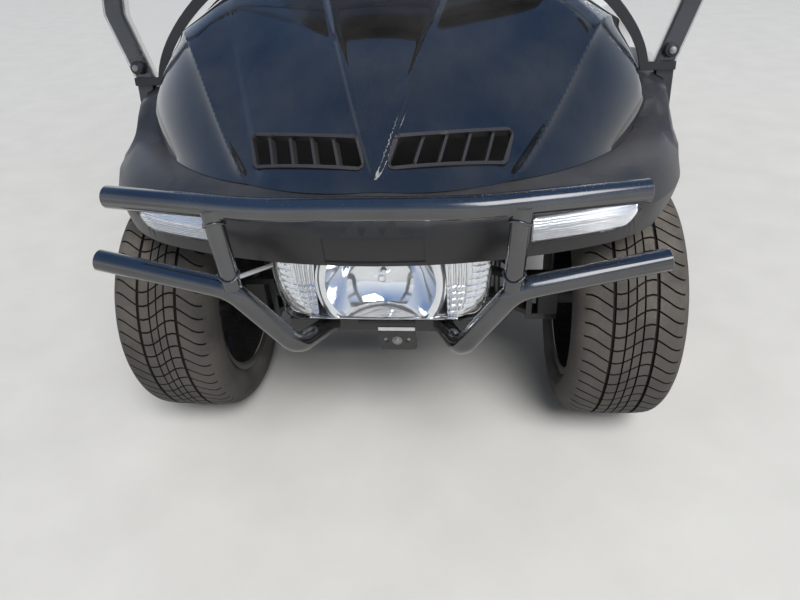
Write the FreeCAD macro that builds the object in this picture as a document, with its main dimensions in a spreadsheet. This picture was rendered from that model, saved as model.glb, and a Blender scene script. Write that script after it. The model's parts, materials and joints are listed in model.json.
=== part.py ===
# Lifted two-seat golf cart with a tubular brush guard, on four wide low-profile tyres.
# Frame: +Z up, the front faces -Y, +X is the driver's side. Origin on the ground, midway along and across.
# Lengths are millimetres. Every size measured fore and aft is a distance behind the front axle,
# unless its note says otherwise.

import FreeCAD, Part
import math
import os

import Sketcher

Vec = FreeCAD.Vector
X_AXIS = Vec(1, 0, 0)
Y_AXIS = Vec(0, 1, 0)
Z_AXIS = Vec(0, 0, 1)

# name, size, what it is
SIZES = (
    ("wheelbase", 1656, "front axle to rear axle"),
    ("front_reach", 464, "front axle forward to the foremost face of the brush guard"),
    ("rear_reach", 442, "rear axle back to the rear bumper's face"),
    ("half_track", 499, "centre line to the middle of a tyre"),
    ("tyre_radius", 285, "outside"),
    ("tyre_width", 228, "across the widest part of the side walls"),
    ("tread_width", 198, "across the tread"),
    ("rim_radius", 184, "bead seat"),
    ("rim_flange", 12, "flange height above the bead seat"),
    ("rim_width", 186, "between the flanges"),
    ("rim_wall", 6, "barrel thickness"),
    ("hub_radius", 44, "outside of the hub"),
    ("hub_start", 10, "hub's inner end outboard of the tyre's middle"),
    ("disc_offset", 54, "back of the wheel disc, outboard of the tyre's middle"),
    ("disc_thickness", 18, "wheel disc"),
    ("window_count", 7, "openings between the spokes"),
    ("spindle_radius", 20, "stub axle"),
    ("running_gap", 0.05, "radial clearance of a turning fit"),
    ("seat_gap", 0.3, "clearance between pieces that rest on each other"),
    ("kingpin_offset", 365, "centre line to a kingpin"),
    ("kingpin_radius", 11, "kingpin"),
    ("knuckle_height", 84, "knuckle block"),
    ("knuckle_width", 46, "knuckle block, across and along"),
    ("yoke_plate", 16, "thickness of a yoke's lug"),
    ("yoke_depth", 38, "kingpin to the inside of a yoke's web"),
    ("yoke_web", 14, "thickness of a yoke's web"),
    ("arm_length", 110, "kingpin to the tie rod's pin, behind the axle"),
    ("tie_rod_radius", 8, "tie rod"),
    ("rail_centre", 175, "centre line to the middle of a frame rail"),
    ("rail_width", 50, "frame rail"),
    ("rail_height", 76, "frame rail"),
    ("rail_bottom", 330, "ground to the underside of the rails"),
    ("rail_front", 215, "rails' front end ahead of the front axle"),
    ("cross_width", 50, "crossmember, fore and aft"),
    ("bracket_x", 20, "centre line to the middle of the front bracket"),
    ("bracket_half", 40, "half the width of the front bracket"),
    ("bracket_plate", 6, "front bracket's plate"),
    ("bracket_foot", 327, "ground to the front bracket's lower edge"),
    ("bracket_hole", 7, "radius of the front bracket's middle hole"),
    ("bracket_small_hole", 4, "radius of its side holes"),
    ("bracket_pitch", 44, "between its side holes"),
    ("guard_tube", 19, "radius of the guard's long tubes"),
    ("guard_link", 16, "radius of the guard's uprights"),
    ("guard_top_height", 731, "upper bar's centre"),
    ("guard_top_half", 432, "centre line to an end of the upper bar"),
    ("guard_top_sweep", 56, "how far the upper bar's ends sweep back"),
    ("guard_low_half", 482, "centre line to an end of a lower bar"),
    ("guard_low_height", 615, "lower bar's outer end"),
    ("guard_link_half", 240, "centre line to an upright"),
    ("guard_elbow_height", 580, "lower bar where it turns down"),
    ("guard_foot_half", 152, "centre line to the bottom of the vee"),
    ("guard_foot_height", 436, "bottom of the vee"),
    ("guard_root_half", 112, "centre line to where a lower bar meets the frame"),
    ("cowl_base", 697, "ground to the cowl's lower edge"),
    ("cowl_front", 309, "cowl's nose ahead of the front axle"),
    ("cowl_back", 262, "cowl's rear edge"),
    ("cowl_wall", 5, "cowl thickness"),
    ("cowl_top", 986, "ground to the top of the cowl"),
    ("cowl_half", 538, "centre line to the side of the cowl at its rear edge"),
    ("vent_half", 120, "half the width of a vent"),
    ("vent_height", 72, "a vent, up the cowl's slope"),
    ("vent_centre", 134, "centre line to the middle of a vent"),
    ("slat_thickness", 5, "slats in the vents"),
    ("bumper_front", 372, "bumper's face ahead of the front axle"),
    ("bumper_wall", 8, "bumper and front fender thickness"),
    ("bumper_bottom", 582, "ground to the bumper's lower edge"),
    ("plate_recess", 89, "half the width of the blank recess in the bumper"),
    ("recess_depth", 3, "depth of the recess"),
    ("fender_crown", 776, "ground to the fenders' crown where they meet the cowl"),
    ("fender_shoulder", 728, "ground to the fenders' outer shoulder"),
    ("body_half", 608, "centre line to the outside of the fenders"),
    ("arch_radius", 345, "wheel opening"),
    ("arch_lift", 25, "wheel opening's centre above the axle"),
    ("skirt_bottom", 372, "ground to the lower edge of the fenders' rear ends"),
    ("skirt_back", 318, "rear end of the front fenders"),
    ("lamp_top_half", 214, "headlamp's half width at its top"),
    ("lamp_low_half", 156, "headlamp's half width at its foot"),
    ("lamp_foot", 434, "ground to the headlamp's foot"),
    ("lamp_front", 332, "headlamp's face ahead of the front axle"),
    ("lamp_depth", 92, "headlamp, fore and aft"),
    ("lens_wall", 4, "lens thickness"),
    ("side_lamp_inner", 270, "centre line to a side lamp's inner end"),
    ("side_lamp_outer", 462, "centre line to a side lamp's outer end"),
    ("side_lamp_foot", 611, "ground to a side lamp's foot"),
    ("side_lamp_height", 46, "side lamp"),
    ("post_offset", 0, "fender's side to a front post's outer edge, at its foot"),
    ("post_elbow", 930, "ground to where the front posts turn upright"),
    ("post_flare", 46, "how far the posts spread between foot and elbow"),
    ("post_top_half", 600, "centre line to a front post's outer edge at the roof"),
    ("rear_post_half", 522, "centre line to a rear post"),
    ("post_width", 38, "front and rear posts, across"),
    ("post_depth", 26, "front and rear posts, fore and aft"),
    ("roof_underside", 1832, "ground to the roof's underside"),
    ("roof_thickness", 58, "roof, rim to crown"),
    ("roof_wall", 6, "roof skin"),
    ("roof_front", 262, "roof's front edge"),
    ("roof_back", 1690, "roof's rear edge"),
    ("roof_half", 596, "centre line to the roof's side"),
    ("screen_foot_y", 132, "windscreen's foot"),
    ("screen_foot", 800, "ground to the windscreen's foot"),
    ("screen_lean", 12, "degrees from upright"),
    ("screen_split", 0.52, "height of the joint between the panes, as a share of the windscreen's"),
    ("pane_thickness", 5, "windscreen panes"),
    ("joint_height", 22, "strip between the panes"),
    ("seal_width", 18, "windscreen's lower seal"),
    ("seal_offset", 8, "cowl to the windscreen's seal"),
    ("seal_thickness", 12, "windscreen's lower seal"),
    ("knob_radius", 15, "windscreen's knobs"),
    ("knob_height", 14, "windscreen's knobs"),
    ("dash_back", 400, "dash's rear face"),
    ("dash_bottom", 740, "ground to the dash's lower edge"),
    ("dash_half", 512, "centre line to the side of the dash"),
    ("bin_depth", 90, "open bins in the dash"),
    ("wheel_centre_x", 285, "centre line to the steering wheel's hub"),
    ("wheel_centre_y", 540, "steering wheel's hub"),
    ("wheel_centre_z", 1060, "ground to the steering wheel's hub"),
    ("column_lean", 36, "degrees from upright"),
    ("steering_rim", 172, "steering wheel's rim, centre line"),
    ("steering_grip", 13, "radius of the rim's grip"),
    ("column_radius", 22, "steering column jacket"),
    ("column_length", 560, "steering column"),
    ("floor_top", 440, "ground to the top of the floor"),
    ("floor_thickness", 30, "floor pan"),
    ("floor_half", 546, "centre line to the floor's side"),
    ("toe_foot", 430, "where the floor turns up to the toe board"),
    ("toe_top", 712, "ground to the toe board's upper edge"),
    ("toe_half", 486, "centre line to the side of the toe board between the fenders"),
    ("rocker_bottom", 352, "ground to the underside of a rocker panel"),
    ("rocker_top", 466, "ground to the top of a rocker panel"),
    ("pod_front", 800, "seat pod's front face"),
    ("pod_back", 1330, "seat pod's rear face"),
    ("pod_top", 700, "ground to the seat pod's rim"),
    ("pod_wall", 6, "seat pod panels"),
    ("battery_height", 270, "battery block"),
    ("battery_length", 370, "battery block, fore and aft"),
    ("battery_width", 800, "battery block, across"),
    ("cushion_half", 540, "centre line to the side of the cushions"),
    ("cushion_thickness", 118, "seat cushion"),
    ("cushion_depth", 486, "seat cushion, fore and aft"),
    ("seat_board", 12, "board under the cushion"),
    ("lid_pivot_y", 784, "seat lid's hinge"),
    ("lid_pivot_z", 702, "ground to the seat lid's hinge"),
    ("hinge_barrel", 5.5, "radius of the seat hinges' barrels"),
    ("hinge_pin", 3, "radius of the seat hinges' pins"),
    ("hinge_x", 300, "centre line to a seat hinge"),
    ("back_foot", 940, "ground to the foot of the backrest"),
    ("back_height", 370, "backrest along its slope"),
    ("back_thickness", 96, "backrest"),
    ("back_lean", 12, "degrees from upright"),
    ("back_y", 1262, "front face of the backrest at its foot"),
    ("rear_post_y", 1404, "rear post's foot"),
    ("rear_post_head", 1560, "rear post's top"),
    ("rear_body_top", 872, "ground to the rear body's shoulder"),
    ("rear_body_tail", 716, "ground to the top of the tail"),
    ("rear_body_wall", 6, "rear body panels"),
    ("well_half", 392, "bag well, half width"),
    ("well_front", 1480, "bag well's front wall"),
    ("well_floor", 560, "ground to the bag well's floor"),
    ("well_wall", 5, "bag well"),
    ("rack_height", 1150, "ground to the top of the bag rack"),
    ("rack_tube", 13, "bag rack tube radius"),
    ("rack_y", 1466, "bag rack's uprights"),
    ("basket_half", 350, "sweater basket, half width"),
    ("basket_floor", 905, "ground to the basket's floor"),
    ("basket_height", 120, "sweater basket"),
    ("basket_depth", 150, "sweater basket, fore and aft"),
    ("basket_wall", 4, "sweater basket"),
    ("rear_bumper_height", 84, "rear bumper"),
    ("rear_bumper_depth", 56, "rear bumper"),
    ("rear_bumper_bottom", 440, "ground to the rear bumper's underside"),
    ("axle_tube", 32, "rear axle tube radius"),
    ("drum_radius", 96, "brake drum"),
    ("drum_width", 58, "brake drum"),
    ("leaf_width", 50, "leaf springs"),
    ("leaf_thickness", 14, "leaf springs"),
    ("damper_radius", 20, "dampers"),
    ("front_damper_x", 240, "centre line to a front damper"),
    ("rear_damper_x", 312, "centre line to a rear damper"),
    ("rear_damper_y", 62, "rear dampers behind the rear axle"),
    ("tower_top", 524, "ground to the top of the damper towers"),
)


class Dim:
    """A size with its number and the spreadsheet expression that it comes from."""

    def __init__(self, number, text):
        self.number = float(number)
        self.text = text

    def joined(self, other, sign, number):
        text = other.text if isinstance(other, Dim) else repr(float(other))
        return Dim(number, "(%s %s %s)" % (self.text, sign, text))

    def __float__(self):
        return self.number

    def __add__(self, other):
        return self.joined(other, "+", self.number + float(other))

    def __sub__(self, other):
        return self.joined(other, "-", self.number - float(other))

    def __mul__(self, other):
        return self.joined(other, "*", self.number * float(other))

    def __truediv__(self, other):
        return self.joined(other, "/", self.number / float(other))

    def __radd__(self, other):
        return Dim(other, repr(float(other))) + self

    def __rsub__(self, other):
        return Dim(other, repr(float(other))) - self

    def __rmul__(self, other):
        return Dim(other, repr(float(other))) * self

    def __neg__(self):
        return Dim(-self.number, "(0 - %s)" % self.text)


doc = FreeCAD.newDocument("golf_cart")
sheet = doc.addObject("Spreadsheet::Sheet", "Sizes")
for row, (alias, amount, note) in enumerate(SIZES, start=1):
    sheet.set("A%d" % row, alias)
    sheet.set("B%d" % row, str(amount))
    sheet.set("C%d" % row, note)
    sheet.setAlias("B%d" % row, alias)
doc.recompute()

parts = []


def size(alias):
    """A size from the sheet, with its expression."""
    return Dim(sheet.get(alias), "Sizes." + alias)


def mm(alias):
    """A size from the sheet as a plain number."""
    return float(sheet.get(alias))


half_length = (size("front_reach") + size("wheelbase") + size("rear_reach")) / 2
front_axle = size("front_reach") - half_length
rear_axle = front_axle + size("wheelbase")


def back(distance):
    """The Y of a place that far behind the front axle."""
    return front_axle + distance


def fore(distance):
    """The Y of a place that far ahead of the front axle."""
    return front_axle - distance


def bind(thing, prop, dim):
    """Ties a property to the sheet, or sets it where the size is a plain number."""
    if isinstance(dim, Dim):
        thing.setExpression(prop, dim.text)
    else:
        thing.setExpression(prop, repr(float(dim)))


def place(thing, x, y, z):
    bind(thing, "Placement.Base.x", x)
    bind(thing, "Placement.Base.y", y)
    bind(thing, "Placement.Base.z", z)


def keep(thing, label):
    """Names a finished sub-part, which is then written to its own file."""
    thing.Label = label
    parts.append(thing)
    return thing


def block(x, y, z):
    """A box from low and high limits along each axis."""
    thing = doc.addObject("Part::Box", "block")
    bind(thing, "Length", x[1] - x[0])
    bind(thing, "Width", y[1] - y[0])
    bind(thing, "Height", z[1] - z[0])
    place(thing, x[0], y[0], z[0])
    return thing


def rod(radius, length, start, axis):
    """A cylinder from a start point along an axis."""
    thing = doc.addObject("Part::Cylinder", "rod")
    thing.Placement = FreeCAD.Placement(Vec(0, 0, 0), FreeCAD.Rotation(Z_AXIS, axis))
    bind(thing, "Radius", radius)
    bind(thing, "Height", length)
    place(thing, *start)
    return thing


def less(base, *tools):
    """The base with the tools cut away."""
    for tool in tools:
        cut = doc.addObject("Part::Cut", "cut")
        cut.Base = base
        cut.Tool = tool
        base = cut
    return base


def joined(*things):
    """Several overlapping pieces made one solid."""
    thing = doc.addObject("Part::MultiFuse", "joined")
    thing.Shapes = list(things)
    thing.Refine = True
    return thing


def overlap(base, tool):
    thing = doc.addObject("Part::Common", "overlap")
    thing.Base = base
    thing.Tool = tool
    return thing


def group(*things):
    """Separate solids kept in one sub-part."""
    thing = doc.addObject("Part::Compound", "group")
    thing.Links = list(things)
    return thing


def mirrored(thing):
    """The same piece on the other side of the centre line."""
    other = doc.addObject("Part::Mirroring", "mirrored")
    other.Source = thing
    other.Base = Vec(0, 0, 0)
    other.Normal = X_AXIS
    return other


def both_sides(thing):
    return group(thing, mirrored(thing))


def solid_of(shape):
    """A piece whose shape is made by Part's own functions."""
    thing = doc.addObject("Part::Feature", "shape")
    thing.Shape = shape
    return thing


def rounded(thing, radius, picks):
    """Rounds the edges that picks chooses, once the piece is built."""
    doc.recompute()
    edges = [n + 1 for n, edge in enumerate(thing.Shape.Edges) if picks(edge)]
    fillet = doc.addObject("Part::Fillet", "rounded")
    fillet.Base = thing
    fillet.Edges = [(n, float(radius), float(radius)) for n in edges]
    return fillet


def runs_along(axis):
    """Chooses straight edges along an axis."""
    def picks(edge):
        if edge.Curve.TypeId != "Part::GeomLine":
            return False
        way = edge.Vertexes[-1].Point - edge.Vertexes[0].Point
        return abs(abs(way.normalize().dot(axis)) - 1) < 1e-6
    return picks


def origin_plane(body, role):
    return [f for f in body.Origin.OriginFeatures if f.Role == role][0]


def outline(body, role, points, name="outline"):
    """A closed sketch of straight edges, each corner's two distances tied to the sheet."""
    sketch = body.newObject("Sketcher::SketchObject", name)
    sketch.AttachmentSupport = [(origin_plane(body, role), "")]
    sketch.MapMode = "FlatFace"
    corners = [Vec(float(a), float(b), 0) for a, b in points]
    count = len(corners)
    for n in range(count):
        sketch.addGeometry(Part.LineSegment(corners[n], corners[(n + 1) % count]))
    for n in range(count):
        sketch.addConstraint(Sketcher.Constraint("Coincident", n, 2, (n + 1) % count, 1))
    for n, (across, up) in enumerate(points):
        for kind, dim in (("DistanceX", across), ("DistanceY", up)):
            index = sketch.addConstraint(Sketcher.Constraint(kind, -1, 1, n, 1, float(dim)))
            bind(sketch, "Constraints[%d]" % index, dim)
    return sketch


def turned(label, points):
    """A body turned about its X axis from an outline of (along the axis, radius) corners."""
    body = doc.addObject("PartDesign::Body", label)
    sketch = outline(body, "XY_Plane", points)
    turn = body.newObject("PartDesign::Revolution", "turned")
    turn.Profile = sketch
    turn.ReferenceAxis = (sketch, ["H_Axis"])
    turn.Angle = 360
    body.Tip = turn
    return body


def side_profile(label, points, width):
    """A body padded evenly to both sides of the centre line from its side view."""
    body = doc.addObject("PartDesign::Body", label)
    sketch = outline(body, "YZ_Plane", points)
    pad = body.newObject("PartDesign::Pad", "pad")
    pad.Profile = sketch
    pad.SideType = "Symmetric"
    bind(pad, "Length", width)
    body.Tip = pad
    return body


def bent_tube(points, radius, bend):
    """A round tube along straight runs joined by tangent arcs of one bend radius."""
    edges = []
    start = points[0]
    for before, corner, after in zip(points, points[1:], points[2:]):
        inward = (before - corner).normalize()
        outward = (after - corner).normalize()
        half_turn = inward.getAngle(outward) / 2
        reach = bend / math.tan(half_turn)
        first = corner + inward * reach
        last = corner + outward * reach
        middle_way = (inward + outward).normalize()
        middle = corner + middle_way * (bend / math.sin(half_turn) - bend)
        edges.append(Part.LineSegment(start, first).toShape())
        edges.append(Part.Arc(first, middle, last).toShape())
        start = last
    edges.append(Part.LineSegment(start, points[-1]).toShape())
    path = Part.Wire(edges)
    circle = Part.Circle(points[0], points[1] - points[0], radius)
    return path.makePipeShell([Part.Wire(circle.toShape())], True, False)


def strut(start, end, width, depth):
    """A straight bar of rectangular section from start to end, its width along X."""
    along = end - start
    turn = FreeCAD.Rotation(X_AXIS, Vec(0, 0, 0), along, "ZXY")
    bar = Part.makeBox(width, depth, along.Length, Vec(-width / 2, -depth / 2, 0))
    bar.Placement = FreeCAD.Placement(start, turn)
    return bar


# Wheels

def tyre_profile():
    bead = size("rim_radius") + size("seat_gap")
    half = size("tyre_width") / 2
    tread = size("tread_width") / 2
    seat = size("rim_width") / 2 - size("seat_gap")
    outer = size("tyre_radius")
    wall = outer - size("rim_radius")
    shoulder = outer - wall * 0.14
    lip = size("rim_radius") + size("rim_flange") + size("seat_gap")
    right = (
        (seat, bead),
        (seat, lip),
        (seat + 10, lip + 2),
        (half, bead + wall * 0.42),
        (half - 2, bead + wall * 0.62),
        (tread, shoulder),
        (tread * 0.84, outer - wall * 0.03),
        (tread * 0.3, outer),
    )
    left = [(-along, radius) for along, radius in reversed(right)]
    return left + list(right)


def rim_profile():
    seat = size("rim_radius")
    lip = seat + size("rim_flange")
    inside = seat - size("rim_wall")
    half = size("rim_width") / 2
    hub = size("hub_radius")
    bore = size("spindle_radius") + size("running_gap")
    disc = size("disc_offset")
    face = disc + size("disc_thickness")
    cap = face + 10
    return [
        (-half - 8, lip),
        (-half - 1, lip),
        (-half, seat),
        (half, seat),
        (half + 1, lip),
        (half + 8, lip),
        (half + 8, lip - 10),
        (half - 2, inside),
        (face + 4, inside - 4),
        (face - 4, hub + 22),
        (cap, hub - 2),
        (cap, 0),
        (cap - 8, 0),
        (cap - 8, bore),
        (size("hub_start"), bore),
        (size("hub_start"), hub),
        (disc - 6, hub + 8),
        (disc, inside),
        (-half - 2, inside),
        (-half - 8, lip - 10),
    ]


def cut_windows(body):
    """Tapered openings through the wheel disc, which leave the spokes."""
    sketch = body.newObject("Sketcher::SketchObject", "window")
    sketch.AttachmentSupport = [(origin_plane(body, "YZ_Plane"), "")]
    sketch.MapMode = "FlatFace"
    inner = mm("hub_radius") + 26
    outer = mm("rim_radius") - mm("rim_wall") - 14
    corners = [Vec(-12, inner, 0), Vec(12, inner, 0), Vec(44, outer - 10, 0), Vec(22, outer, 0),
               Vec(-22, outer, 0), Vec(-44, outer - 10, 0)]
    for n, corner in enumerate(corners):
        sketch.addGeometry(Part.LineSegment(corner, corners[(n + 1) % len(corners)]))
    pocket = body.newObject("PartDesign::Pocket", "window_cut")
    pocket.Profile = sketch
    pocket.Type = "ThroughAll"
    pocket.Reversed = True
    pattern = body.newObject("PartDesign::PolarPattern", "windows")
    pattern.Originals = [pocket]
    pattern.Axis = (origin_line(body, "X_Axis"), [""])
    pattern.Angle = 360
    bind(pattern, "Occurrences", size("window_count"))
    body.Tip = pattern


def origin_line(body, role):
    return [f for f in body.Origin.OriginFeatures if f.Role == role][0]


def wheel(name, side, axle_y):
    """A tyre and its rim, their outboard side facing away from the centre line."""
    tyre = turned("tyre_" + name, tyre_profile())
    rim = turned("rim_" + name, rim_profile())
    cut_windows(rim)
    turn = FreeCAD.Rotation(Z_AXIS, 0 if side > 0 else 180)
    for body in (tyre, rim):
        body.Placement = FreeCAD.Placement(Vec(0, 0, 0), turn)
        place(body, side * size("half_track"), axle_y, size("tyre_radius"))
        keep(body, body.Label)


for wheel_name, wheel_side, wheel_y in (
    ("front_left", 1, front_axle),
    ("front_right", -1, front_axle),
    ("rear_left", 1, rear_axle),
    ("rear_right", -1, rear_axle),
):
    wheel(wheel_name, wheel_side, wheel_y)


# Front suspension and steering

axle_height = size("tyre_radius")
knuckle_low = axle_height - size("knuckle_height") / 2
knuckle_high = axle_height + size("knuckle_height") / 2
tie_rod_y = front_axle + size("arm_length")


def knuckle(name, side):
    """A block with its kingpin, stub axle and rearward steering arm."""
    centre = side * size("kingpin_offset")
    half = size("knuckle_width") / 2
    pin_length = size("knuckle_height") + 2 * (size("yoke_plate") + 8)
    body = block((centre - half, centre + half), (front_axle - half, front_axle + half),
                 (knuckle_low, knuckle_high))
    pin = rod(size("kingpin_radius"), pin_length, (centre, front_axle, axle_height - pin_length / 2),
              Z_AXIS)
    reach = size("half_track") - size("kingpin_offset") + size("disc_offset") + size("disc_thickness") - 1
    stub = rod(size("spindle_radius"), reach, (centre, front_axle, axle_height), X_AXIS * side)
    arm = block((centre - 12, centre + 12), (front_axle, tie_rod_y + 16),
                (knuckle_low, knuckle_low + 14))
    eye = rod(size("tie_rod_radius") + size("running_gap"), 60, (centre, tie_rod_y, knuckle_low - 20), Z_AXIS)
    keep(less(joined(body, pin, stub, arm), eye), name)


knuckle("knuckle_left", 1)
knuckle("knuckle_right", -1)


def tie_rod():
    """A rod behind the axle with an upright pin at each end, below the steering arms."""
    offset = size("kingpin_offset")
    low = knuckle_low - 6 - size("tie_rod_radius") * 2
    bar = rod(size("tie_rod_radius"), offset * 2, (-offset, tie_rod_y, low + size("tie_rod_radius")), X_AXIS)
    ends = []
    for side in (1, -1):
        ends.append(rod(size("tie_rod_radius"), 34, (side * offset, tie_rod_y, low), Z_AXIS))
        ends.append(rod(size("tie_rod_radius") + 5, size("tie_rod_radius") * 2 + 4,
                        (side * offset, tie_rod_y, low - 2), Z_AXIS))
    keep(joined(bar, *ends), "tie_rod")


tie_rod()


def kingpin_carriers():
    """A fork at each end of the axle, one lug above and one below the knuckle."""
    centre = size("kingpin_offset")
    half = size("knuckle_width") / 2
    gap = size("seat_gap")
    plate = size("yoke_plate")
    web_face = centre - size("yoke_depth")
    inner = web_face - size("yoke_web")
    web = block((inner, web_face), (front_axle - half, front_axle + half),
                (knuckle_low - gap - plate, knuckle_high + gap + plate))
    upper = block((inner, centre + half), (front_axle - half, front_axle + half),
                  (knuckle_high + gap, knuckle_high + gap + plate))
    lower = block((inner, centre + half), (front_axle - half, front_axle + half),
                  (knuckle_low - gap - plate, knuckle_low - gap))
    bore = rod(size("kingpin_radius") + size("running_gap"), 300, (centre, front_axle, axle_height - 150),
               Z_AXIS)
    keep(both_sides(less(joined(web, upper, lower), bore)), "kingpin_carriers")


kingpin_carriers()


def front_leaf_spring():
    """A transverse spring, bowed up under the frame and pinned to the carriers."""
    end = mm("kingpin_offset") - mm("yoke_depth") - mm("yoke_web") - mm("seat_gap")
    low = float(knuckle_low) - 2
    high = mm("rail_bottom") - mm("leaf_thickness") - 0.3
    thick = mm("leaf_thickness")
    y = float(front_axle) - mm("leaf_width") / 2
    under = Part.Arc(Vec(-end, y, low), Vec(0, y, high), Vec(end, y, low)).toShape()
    over = Part.Arc(Vec(end, y, low + thick), Vec(0, y, high + thick), Vec(-end, y, low + thick)).toShape()
    sides = [Part.makeLine(Vec(end, y, low), Vec(end, y, low + thick)),
             Part.makeLine(Vec(-end, y, low + thick), Vec(-end, y, low))]
    face = Part.Face(Part.Wire([under, sides[0], over, sides[1]]))
    keep(solid_of(face.extrude(Vec(0, mm("leaf_width"), 0))), "front_leaf_spring")


front_leaf_spring()


def upper_arms():
    """A two-legged arm each side from the frame down to the top of the carrier."""
    inner_x = mm("rail_centre") + mm("rail_width") / 2 + mm("seat_gap")
    outer_x = mm("kingpin_offset") - mm("yoke_depth") - mm("yoke_web") - mm("seat_gap")
    y = float(front_axle)
    inner_z = mm("rail_bottom") + mm("rail_height") - 14
    outer_z = float(knuckle_high) + mm("yoke_plate") - 14
    profile = Part.makePolygon([
        Vec(inner_x, y - 70, inner_z), Vec(outer_x, y - 20, outer_z), Vec(outer_x, y - 20, outer_z + 12),
        Vec(inner_x, y - 70, inner_z + 12), Vec(inner_x, y - 70, inner_z)])
    far = Part.makePolygon([
        Vec(inner_x, y + 70, inner_z), Vec(outer_x, y + 20, outer_z), Vec(outer_x, y + 20, outer_z + 12),
        Vec(inner_x, y + 70, inner_z + 12), Vec(inner_x, y + 70, inner_z)])
    arm = Part.makeLoft([profile, far], True, True)
    gap = Part.makePolygon([
        Vec(inner_x - 1, y - 46, 0), Vec(inner_x - 1, y + 46, 0), Vec(outer_x - 34, y + 12, 0),
        Vec(outer_x - 34, y - 12, 0), Vec(inner_x - 1, y - 46, 0)])
    keep(both_sides(solid_of(arm.cut(Part.Face(gap).extrude(Vec(0, 0, 900))))), "upper_arms")


upper_arms()


# Frame

rail_low = size("rail_bottom")
rail_high = size("rail_bottom") + size("rail_height")
rail_in = size("rail_centre") - size("rail_width") / 2
rail_out = size("rail_centre") + size("rail_width") / 2


def frame():
    """Two rails, their crossmembers and outriggers, and the bar that carries the guard."""
    rear_end = rear_axle + size("rear_reach") - size("rear_bumper_depth") - size("seat_gap")
    rails = [block((rail_in, rail_out), (fore(size("rail_front")), rear_end), (rail_low, rail_high)),
             block((-rail_out, -rail_in), (fore(size("rail_front")), rear_end), (rail_low, rail_high))]
    crosses = []
    for start in (fore(size("rail_front")), back(290), back(size("pod_front")), back(size("pod_back") - 60),
                  rear_end - size("cross_width")):
        crosses.append(block((-rail_centre_line(), rail_centre_line()), (start, start + size("cross_width")),
                             (rail_low, rail_high)))
    for start in (back(size("toe_foot")), back(size("pod_front")), back(size("pod_back") - 60)):
        crosses.append(block((-size("floor_half"), size("floor_half")), (start, start + size("cross_width")),
                             (rail_high - 34, rail_high)))
    nose = block((-rail_out, rail_out), (fore(size("rail_front") + 62), fore(size("rail_front"))),
                 (rail_high - 30, rail_high))
    stand = block((size("rail_centre") * -0.6, size("rail_centre") * 0.6),
                  (fore(size("rail_front") + 62), fore(size("rail_front") + 20)),
                  (rail_high - 10, size("lamp_foot") - size("seat_gap")))
    keep(joined(*rails, *crosses, nose, stand), "frame")


def rail_centre_line():
    return size("rail_centre")


frame()


def damper_towers():
    """An angle plate on the rail beside each damper, its top flange over the damper."""
    towers = []
    for y, reach in ((front_axle, size("front_damper_x")), (rear_axle + size("rear_damper_y"),
                                                            size("rear_damper_x"))):
        plate = block((rail_in, rail_in + 12), (y - 24, y + 24), (rail_high + size("seat_gap"), size("tower_top")))
        flange = block((rail_in, reach + 24), (y - 24, y + 24), (size("tower_top") - 8, size("tower_top")))
        foot = block((rail_in, rail_out), (y - 24, y + 24), (rail_high + size("seat_gap"), rail_high + 8))
        towers.append(joined(plate, flange, foot))
    keep(group(*[both_sides(tower) for tower in towers]), "damper_towers")


damper_towers()


def front_bracket():
    """A small folded plate under the frame's nose bar, with a centre hole and a smaller one to each side."""
    face = fore(size("rail_front") + 62)
    middle = size("bracket_x")
    half = size("bracket_half")
    high = rail_high - 30 - size("seat_gap")
    upright = block((middle - half, middle + half), (face, face + size("bracket_plate")),
                    (size("bracket_foot"), high))
    upright = rounded(upright, 7, lambda edge: runs_along(Y_AXIS)(edge) and edge.CenterOfMass.z < 340)
    shelf = block((middle - half, middle + half), (face, face + 40), (high - size("bracket_plate"), high))
    hole_z = size("bracket_foot") + 24
    plate = joined(upright, shelf)
    hole = rod(size("bracket_hole"), 40, (middle, face - 20, hole_z), Y_AXIS)
    small = [rod(size("bracket_small_hole"), 40, (middle + way * size("bracket_pitch") / 2, face - 20, hole_z), Y_AXIS)
             for way in (-1, 1)]
    keep(less(plate, hole, *small), "front_bracket")


front_bracket()


# Brush guard

def brush_guard():
    """One upper bar, two lower bars that turn down and back to the frame, and two uprights."""
    front = float(fore(mm("front_reach") - mm("guard_tube")))
    tube = mm("guard_tube")
    top = mm("guard_top_height")
    half = mm("guard_top_half")
    bow = mm("guard_link_half") * 0.7
    upper = bent_tube([
        Vec(-half, front + mm("guard_top_sweep"), top),
        Vec(-bow, front, top),
        Vec(bow, front, top),
        Vec(half, front + mm("guard_top_sweep"), top)], tube, 420)
    root_y = float(fore(mm("rail_front") + 62)) + 10
    root = Vec(mm("guard_root_half"), root_y, float(rail_high) - 14)
    lower = bent_tube([
        Vec(mm("guard_low_half"), front + mm("guard_top_sweep") - 8, mm("guard_low_height")),
        Vec(mm("guard_link_half"), front + 10, mm("guard_elbow_height")),
        Vec(mm("guard_foot_half"), front + 40, mm("guard_foot_height")),
        root], tube, 52)
    foot = Vec(mm("guard_link_half") - 6, front + 8, mm("guard_elbow_height") + 4)
    head = Vec(mm("guard_link_half"), front + 6, top)
    link = Part.makeCylinder(mm("guard_link"), (head - foot).Length, foot, head - foot)
    nose = Part.makeBox(2000, 400, 60, Vec(-1000, float(fore(mm("rail_front") + 62)), float(rail_high) - 40))
    side = lower.fuse(link).cut(nose)
    guard = upper.fuse([side, side.mirror(Vec(0, 0, 0), X_AXIS)])
    keep(solid_of(guard.removeSplitter()), "brush_guard")


brush_guard()


# Front body: sections at rising heights, each a bowed front with rounded corners and straight sides

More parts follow.
